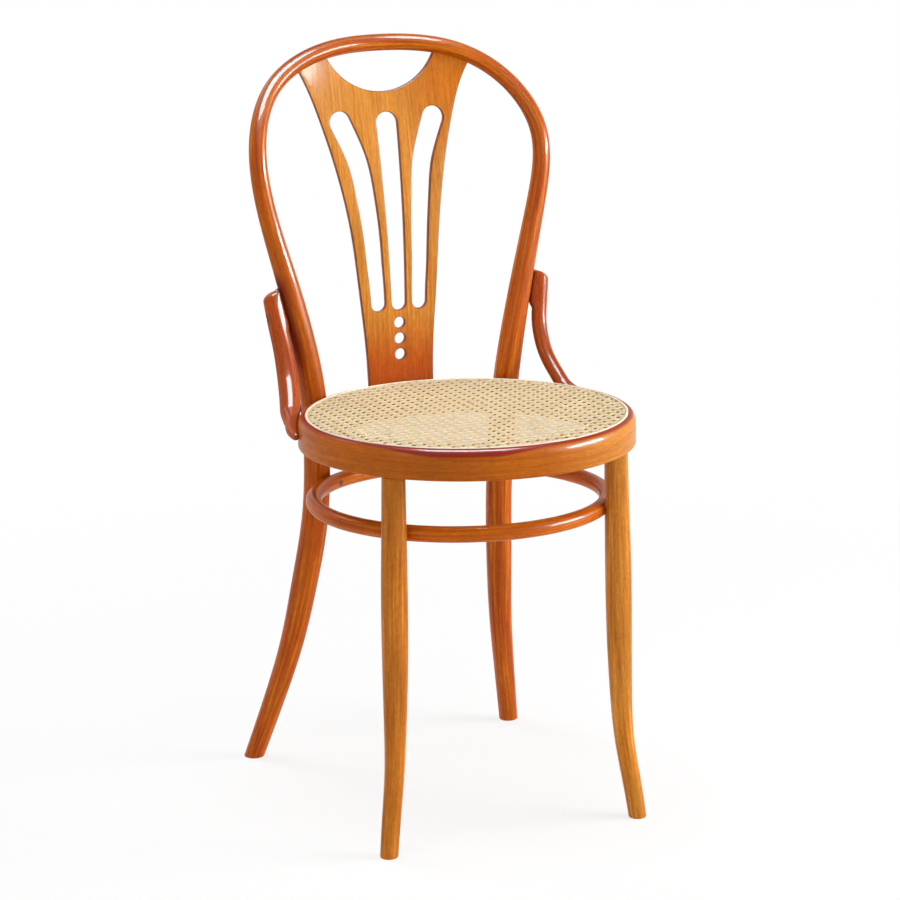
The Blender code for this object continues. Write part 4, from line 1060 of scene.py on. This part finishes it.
# Painted shade: both woods are painted darker in the crease where brace and hoop meet
paint_corner_shade(brace_beech, (0.10, 0.010, 0.002))
paint_corner_shade(red_beech, (0.13, 0.008, 0.002))
for word, side in SIDES:
    smooth = smooth_line(BRACE_KNOTS[word] * (side, 1, 1, 1), steps=22)
    line, radii = rounded_ends(smooth, BRACE_END_ROUND, BRACE_END_ROUND, level=False)
    points, wood = rod(line, radii, towards=(side, 0, 0), sides=44)
    # The top is sawn aslant: each point slides down the rod by its way out from the hoop
    slide = BRACE_END_SLANT * (wood[..., 0] + radii[:, None])
    slide *= np.clip(1 - wood[..., 2] / SLANT_LENGTH, 0, 1)
    points += slide[..., None] * unit(np.gradient(line, axis=0))[:, None]
    wood[..., 2] += 8 + side
    points = laid_on_hoop(clear_of_seat_ring(points))
    points = recessed(points, "brace_top_screw_" + word, "brace_foot_screw_" + word)
    mesh = skin(points, wood)
    mark_corner_shade(mesh, hoop_line, hoop_radii, SHADE_REACH_ON_BRACE)
    mark_corner_shade(hoop.data, line, radii, SHADE_REACH_ON_HOOP)
    set_piece("bent_brace_" + word, mesh, brace_beech, "brace_" + word)


# Wood screws
# Countersunk steel screws with slotted heads, blackened by age: one through the stretcher
# into each leg, one at each end of both braces, and two through the splat's foot.

HEAD_RADIUS = 0.0038
HEAD_HEIGHT = 0.0024
HEAD_DOME = 0.0003
SHANK_RADIUS = 0.002
TIP_LENGTH = 0.006
SLOT_HALF_WIDTH = 0.0005
SLOT_DEPTH = 0.0009
SLOT_RUN_OUT = 0.75
HEAD_RINGS = (0.0006, 0.0012, 0.002, 0.0028, 0.0034, HEAD_RADIUS)


def turned_about(end, axis, radius, height, angle):
    """Points about an axis: the end, plus the height along the axis, plus the radius times
    cosine and sine of the angle along two directions square to it."""
    first = unit(np.cross(axis, (0.31, 0.17, 1.0)))
    second = np.cross(axis, first)
    radius, height, angle = np.broadcast_arrays(radius, height, angle)
    return (end + height[..., None] * axis + (radius * np.cos(angle))[..., None] * first
            + (radius * np.sin(angle))[..., None] * second)


steel, tree, shader = new_material("dark_steel")
place = node(tree, "TexCoord").outputs["Object"]
stain = node(tree, "TexNoise", Vector=place, Scale=420, Detail=6).outputs[0]
grit = node(tree, "TexNoise", Vector=place, Scale=2600, Detail=2).outputs[0]
set_inputs(
    shader, Metallic=1.0,
    Base_Color=tones(tree, stain, (0.3, (0.07, 0.060, 0.052)), (0.72, (0.17, 0.155, 0.14))),
    Roughness=spread(tree, stain, 0.3, 0.7, 0.34, 0.48, smooth=False),
    Normal=bumps(tree, grit, strength=0.12, distance=0.00005))

# The head's rings of points bunch at both edges of the slot, which meets a ring of radius r
# at the angle whose sine is its half width over r. On the rim the slot's floor lies further
# in, where the countersunk cone meets it
part = np.linspace(-1, 1, 6)
arc = np.linspace(0, math.pi, 17)
base = np.concatenate((0 * part, arc, 0 * part + math.pi, arc + math.pi))
lean = np.concatenate((part, 1 - 2 * arc / math.pi) * 2)
in_slot = np.concatenate((part * 0 + 1, arc * 0) * 2)
head = len(HEAD_RINGS)
ring = np.array(HEAD_RINGS + (SHANK_RADIUS, SHANK_RADIUS, SHANK_RADIUS * 0.2))
bite = np.arcsin(np.minimum(SLOT_HALF_WIDTH / ring, 0.9))
bite[head:] = bite[head - 1]
number = np.arange(len(ring))[:, None]
for name in sorted(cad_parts):
    if "screw" not in name:
        continue
    end, axis, length = axis_of(name)
    if "splat" not in name:
        end, length = end - HEAD_SUNK * axis, length - HEAD_SUNK
    height = np.concatenate((HEAD_DOME * (1 - (ring[:head] / HEAD_RADIUS) ** 2),
                             (-HEAD_HEIGHT, TIP_LENGTH - length, -length)))
    radius = ring[:, None] - SLOT_DEPTH * SLOT_RUN_OUT * in_slot * (number == head - 1)
    points = turned_about(end, axis, radius, height[:, None] - SLOT_DEPTH * (number < head)
                          * in_slot, base + lean * bite[:, None])
    set_piece("slotted_" + name, skin(points, points.copy(), sharp=30), steel, name)


# Seat bolts
# A round-headed bolt through each rear leg clamps the hoop to the seat ring, with a washer
# and a six-sided nut on the ring's inside.

BOLT_HEAD_RADIUS = 0.0075
BOLT_HEAD_CROWN = 0.003
BOLT_HEAD_RIM = 0.0004
BOLT_SHANK_RADIUS = 0.0029
THREAD_RADIUS = 0.003
BOLT_POINT_RADIUS = 0.0022
THREAD_LENGTH = 0.012
THREAD_PITCH = 0.001
THREAD_DEPTH = 0.00045
THREAD_RUN_OUT = 0.0005
WASHER_RADIUS = 0.008
WASHER_BORE = 0.0033
NUT_HALF_WIDTH = 0.005
NUT_CORNER = 1.13
NUT_BORE = 0.0031
BROKEN_EDGE = 0.0003

crown = np.linspace(0, math.pi / 2, 10)[1:]
thread = np.arange(int(THREAD_LENGTH / THREAD_PITCH) * 4)
turn = np.linspace(0, 2 * math.pi, 48, endpoint=False)
facet = (turn + math.pi / 6) % (math.pi / 3) - math.pi / 6
nut_outside = NUT_HALF_WIDTH * np.minimum(1 / np.cos(facet), NUT_CORNER)
for word, _ in SIDES:
    end, axis, length = axis_of("seat_bolt_" + word)
    under_head = -BOLT_HEAD_CROWN - BOLT_HEAD_RIM
    radius = np.concatenate((
        BOLT_HEAD_RADIUS * np.sin(crown),
        (BOLT_HEAD_RADIUS, BOLT_SHANK_RADIUS, BOLT_SHANK_RADIUS),
        THREAD_RADIUS - THREAD_DEPTH * (np.abs(thread % 4 - 2) / 2), (BOLT_POINT_RADIUS,)))
    height = np.concatenate((
        BOLT_HEAD_CROWN * (np.cos(crown) - 1),
        (under_head, under_head, THREAD_LENGTH + THREAD_RUN_OUT - length),
        THREAD_LENGTH - length - thread * THREAD_PITCH / 4, (-length,)))
    angle = np.linspace(0, 2 * math.pi, 40, endpoint=False)
    points = turned_about(end, axis, radius[:, None], height[:, None], angle)
    set_piece("round_headed_bolt_" + word, skin(points, points.copy(), sharp=50), steel,
              "seat_bolt_" + word)
    for kind, bore, wide in (("washer", WASHER_BORE, WASHER_RADIUS + 0 * turn),
                             ("nut", NUT_BORE, nut_outside)):
        node_name = "seat_%s_%s" % (kind, word)
        along = (points_of(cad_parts[node_name].data) - end) @ axis
        near, far = along.max(), along.min()
        # Eight stations round the section: out along one face, over, and back along the other
        outer = np.array((0, 1, 1, 1, 1, 0, 0, 0))[:, None]
        eased = np.array((-1, 1, 0, 0, 1, -1, 0, 0))[:, None]
        height = np.array((near, near, near, far, far, far, far, near))
        height += BROKEN_EDGE * np.array((0, 0, -1, 1, 0, 0, 1, -1))
        radius = bore + outer * (wide - bore) - BROKEN_EDGE * eased
        points = turned_about(end, axis, radius.T, height[None, :], turn[:, None])
        set_piece("%s_%s" % (kind, word),
                  skin(points, np.concatenate((points, points[:1])), closed=True, sharp=30),
                  steel, node_name)


# Floor, lamps and camera
# A pale studio floor and wall, soft lamps at the right, the left, the back and above, and two
# shine lamps that only light the lacquer's gloss. The camera stands in front, a little to the
# left and above the seat.

FLOOR_REACH = 60.0
FLOOR_DROP = 0.0002
CAMERA_AZIMUTH = math.radians(-23.459)
CAMERA_HEIGHT_ANGLE = math.radians(12.528)
CAMERA_ROLL = math.radians(-0.691)
CAMERA_DISTANCE = 3.63681
CAMERA_AIM = (0.0, -0.04612, 0.4692)
SHINE_COLOUR = (0.62, 0.92, 1.0)

# Name, place, aim, width, height, watts, and whether the lamp lights more than the gloss
LAMPS = (
    ("right_box", (2.05, -1.14, 1.05), (0.0, 0.0, 0.47), 1.4, 1.0, 56, True),
    ("right_shine", (1.98, -1.10, 1.05), (0.0, 0.0, 0.47), 1.3, 0.36, 205, False),
    ("left_box", (-2.4, -1.3, 1.3), (0.0, 0.0, 0.5), 1.3, 1.8, 10, True),
    ("back_box", (-1.1, 1.6, 2.3), (0.0, 0.0, 0.5), 1.1, 0.8, 18, True),
    ("top_box", (-0.13, -0.35, 2.9), (0.0, -0.05, 0.47), 1.3, 1.0, 22, True),
    ("top_shine", (-0.12, -0.34, 2.8), (0.0, -0.05, 0.47), 1.6, 1.2, 560, False),
)

corners = np.array(((-1, -1, 0), (1, -1, 0), (1, 1, 0), (-1, 1, 0))) * FLOOR_REACH
mesh = bpy.data.meshes.new("studio_floor")
mesh.from_pydata((corners - (0, 0, FLOOR_DROP)).tolist(), [], [(0, 1, 2, 3)])
in_scene("studio_floor", mesh)
paper, tree, matt = new_material("white_paper")
set_inputs(matt, Base_Color=(0.90, 0.90, 0.90, 1), Roughness=0.9, Specular_IOR_Level=0.0)
glow = node(tree, "Emission", Color=(1, 1, 1, 1), Strength=1.0).outputs[0]
seen = node(tree, "LightPath").outputs
either = worked(tree, "MAXIMUM", seen["Is Camera Ray"], seen["Is Glossy Ray"])
either = worked(tree, "MAXIMUM", either, seen["Is Transmission Ray"])
away = node(tree, "VectorMath", operation="LENGTH",
            Input_0=node(tree, "TexCoord").outputs["Object"]).outputs["Value"]
share = worked(tree, "MULTIPLY", either, spread(tree, away, 0.3, 1.6, 0.72, 1.0))
blend = node(tree, "MixShader", Fac=share, Input_1=matt.outputs[0], Input_2=glow)
set_inputs(tree.nodes["Material Output"], Surface=blend.outputs[0])
mesh.materials.append(paper)

# The wall is as pale as the floor; the ceiling above the lamps is darker than the wall
world = bpy.data.worlds.new("studio")
world.use_nodes = True
bpy.context.scene.world = world
tree = world.node_tree
seen = node(tree, "LightPath").outputs
upward = part_of(tree, node(tree, "TexCoord").outputs["Generated"], 2)
either = worked(tree, "MAXIMUM", seen["Is Glossy Ray"], seen["Is Transmission Ray"])
level = worked(tree, "MULTIPLY", spread(tree, either, 0.0, 1.0, 0.62, 1.0, smooth=False),
               spread(tree, upward, 0.5, 0.85, 1.0, 0.35))
set_inputs(tree.nodes["Background"], Color=(1, 1, 1, 1),
           Strength=worked(tree, "MAXIMUM", level, seen["Is Camera Ray"]))


def facing(place, right, upward, back):
    """The placing of a lamp or camera from its place and its own three directions."""
    return Matrix.Translation(place) @ Matrix((right, upward, back)).transposed().to_4x4()


for name, place, target, wide, high, power, lights in LAMPS:
    lamp = bpy.data.lights.new(name, "AREA")
    lamp.shape = "RECTANGLE"
    lamp.size, lamp.size_y, lamp.energy = wide, high, power
    lamp.color = (1.0, 1.0, 1.0) if lights else SHINE_COLOUR
    back = (Vector(place) - Vector(target)).normalized()
    right = Vector((0, 0, 1)).cross(back).normalized()
    lamp_object = in_scene(name, lamp)
    lamp_object.visible_diffuse = lights
    lamp_object.matrix_world = facing(place, right, back.cross(right), back)

back = Vector((math.sin(CAMERA_AZIMUTH) * math.cos(CAMERA_HEIGHT_ANGLE),
               -math.cos(CAMERA_AZIMUTH) * math.cos(CAMERA_HEIGHT_ANGLE),
               math.sin(CAMERA_HEIGHT_ANGLE)))
right = Vector((0, 0, 1)).cross(back).normalized()
upward = back.cross(right)
across = right * math.cos(CAMERA_ROLL) + upward * math.sin(CAMERA_ROLL)
upward = upward * math.cos(CAMERA_ROLL) - right * math.sin(CAMERA_ROLL)
lens = bpy.data.cameras.new("camera")
lens.sensor_width = 36.0
lens.lens = 127.83
lens.shift_x = -0.0185
lens.shift_y = -0.0426
lens.clip_end = 200.0
camera = in_scene("camera", lens)
camera.matrix_world = facing(Vector(CAMERA_AIM) + back * CAMERA_DISTANCE, across, upward, back)
bpy.context.scene.camera = camera
bpy.context.scene.view_settings.view_transform = "Standard"
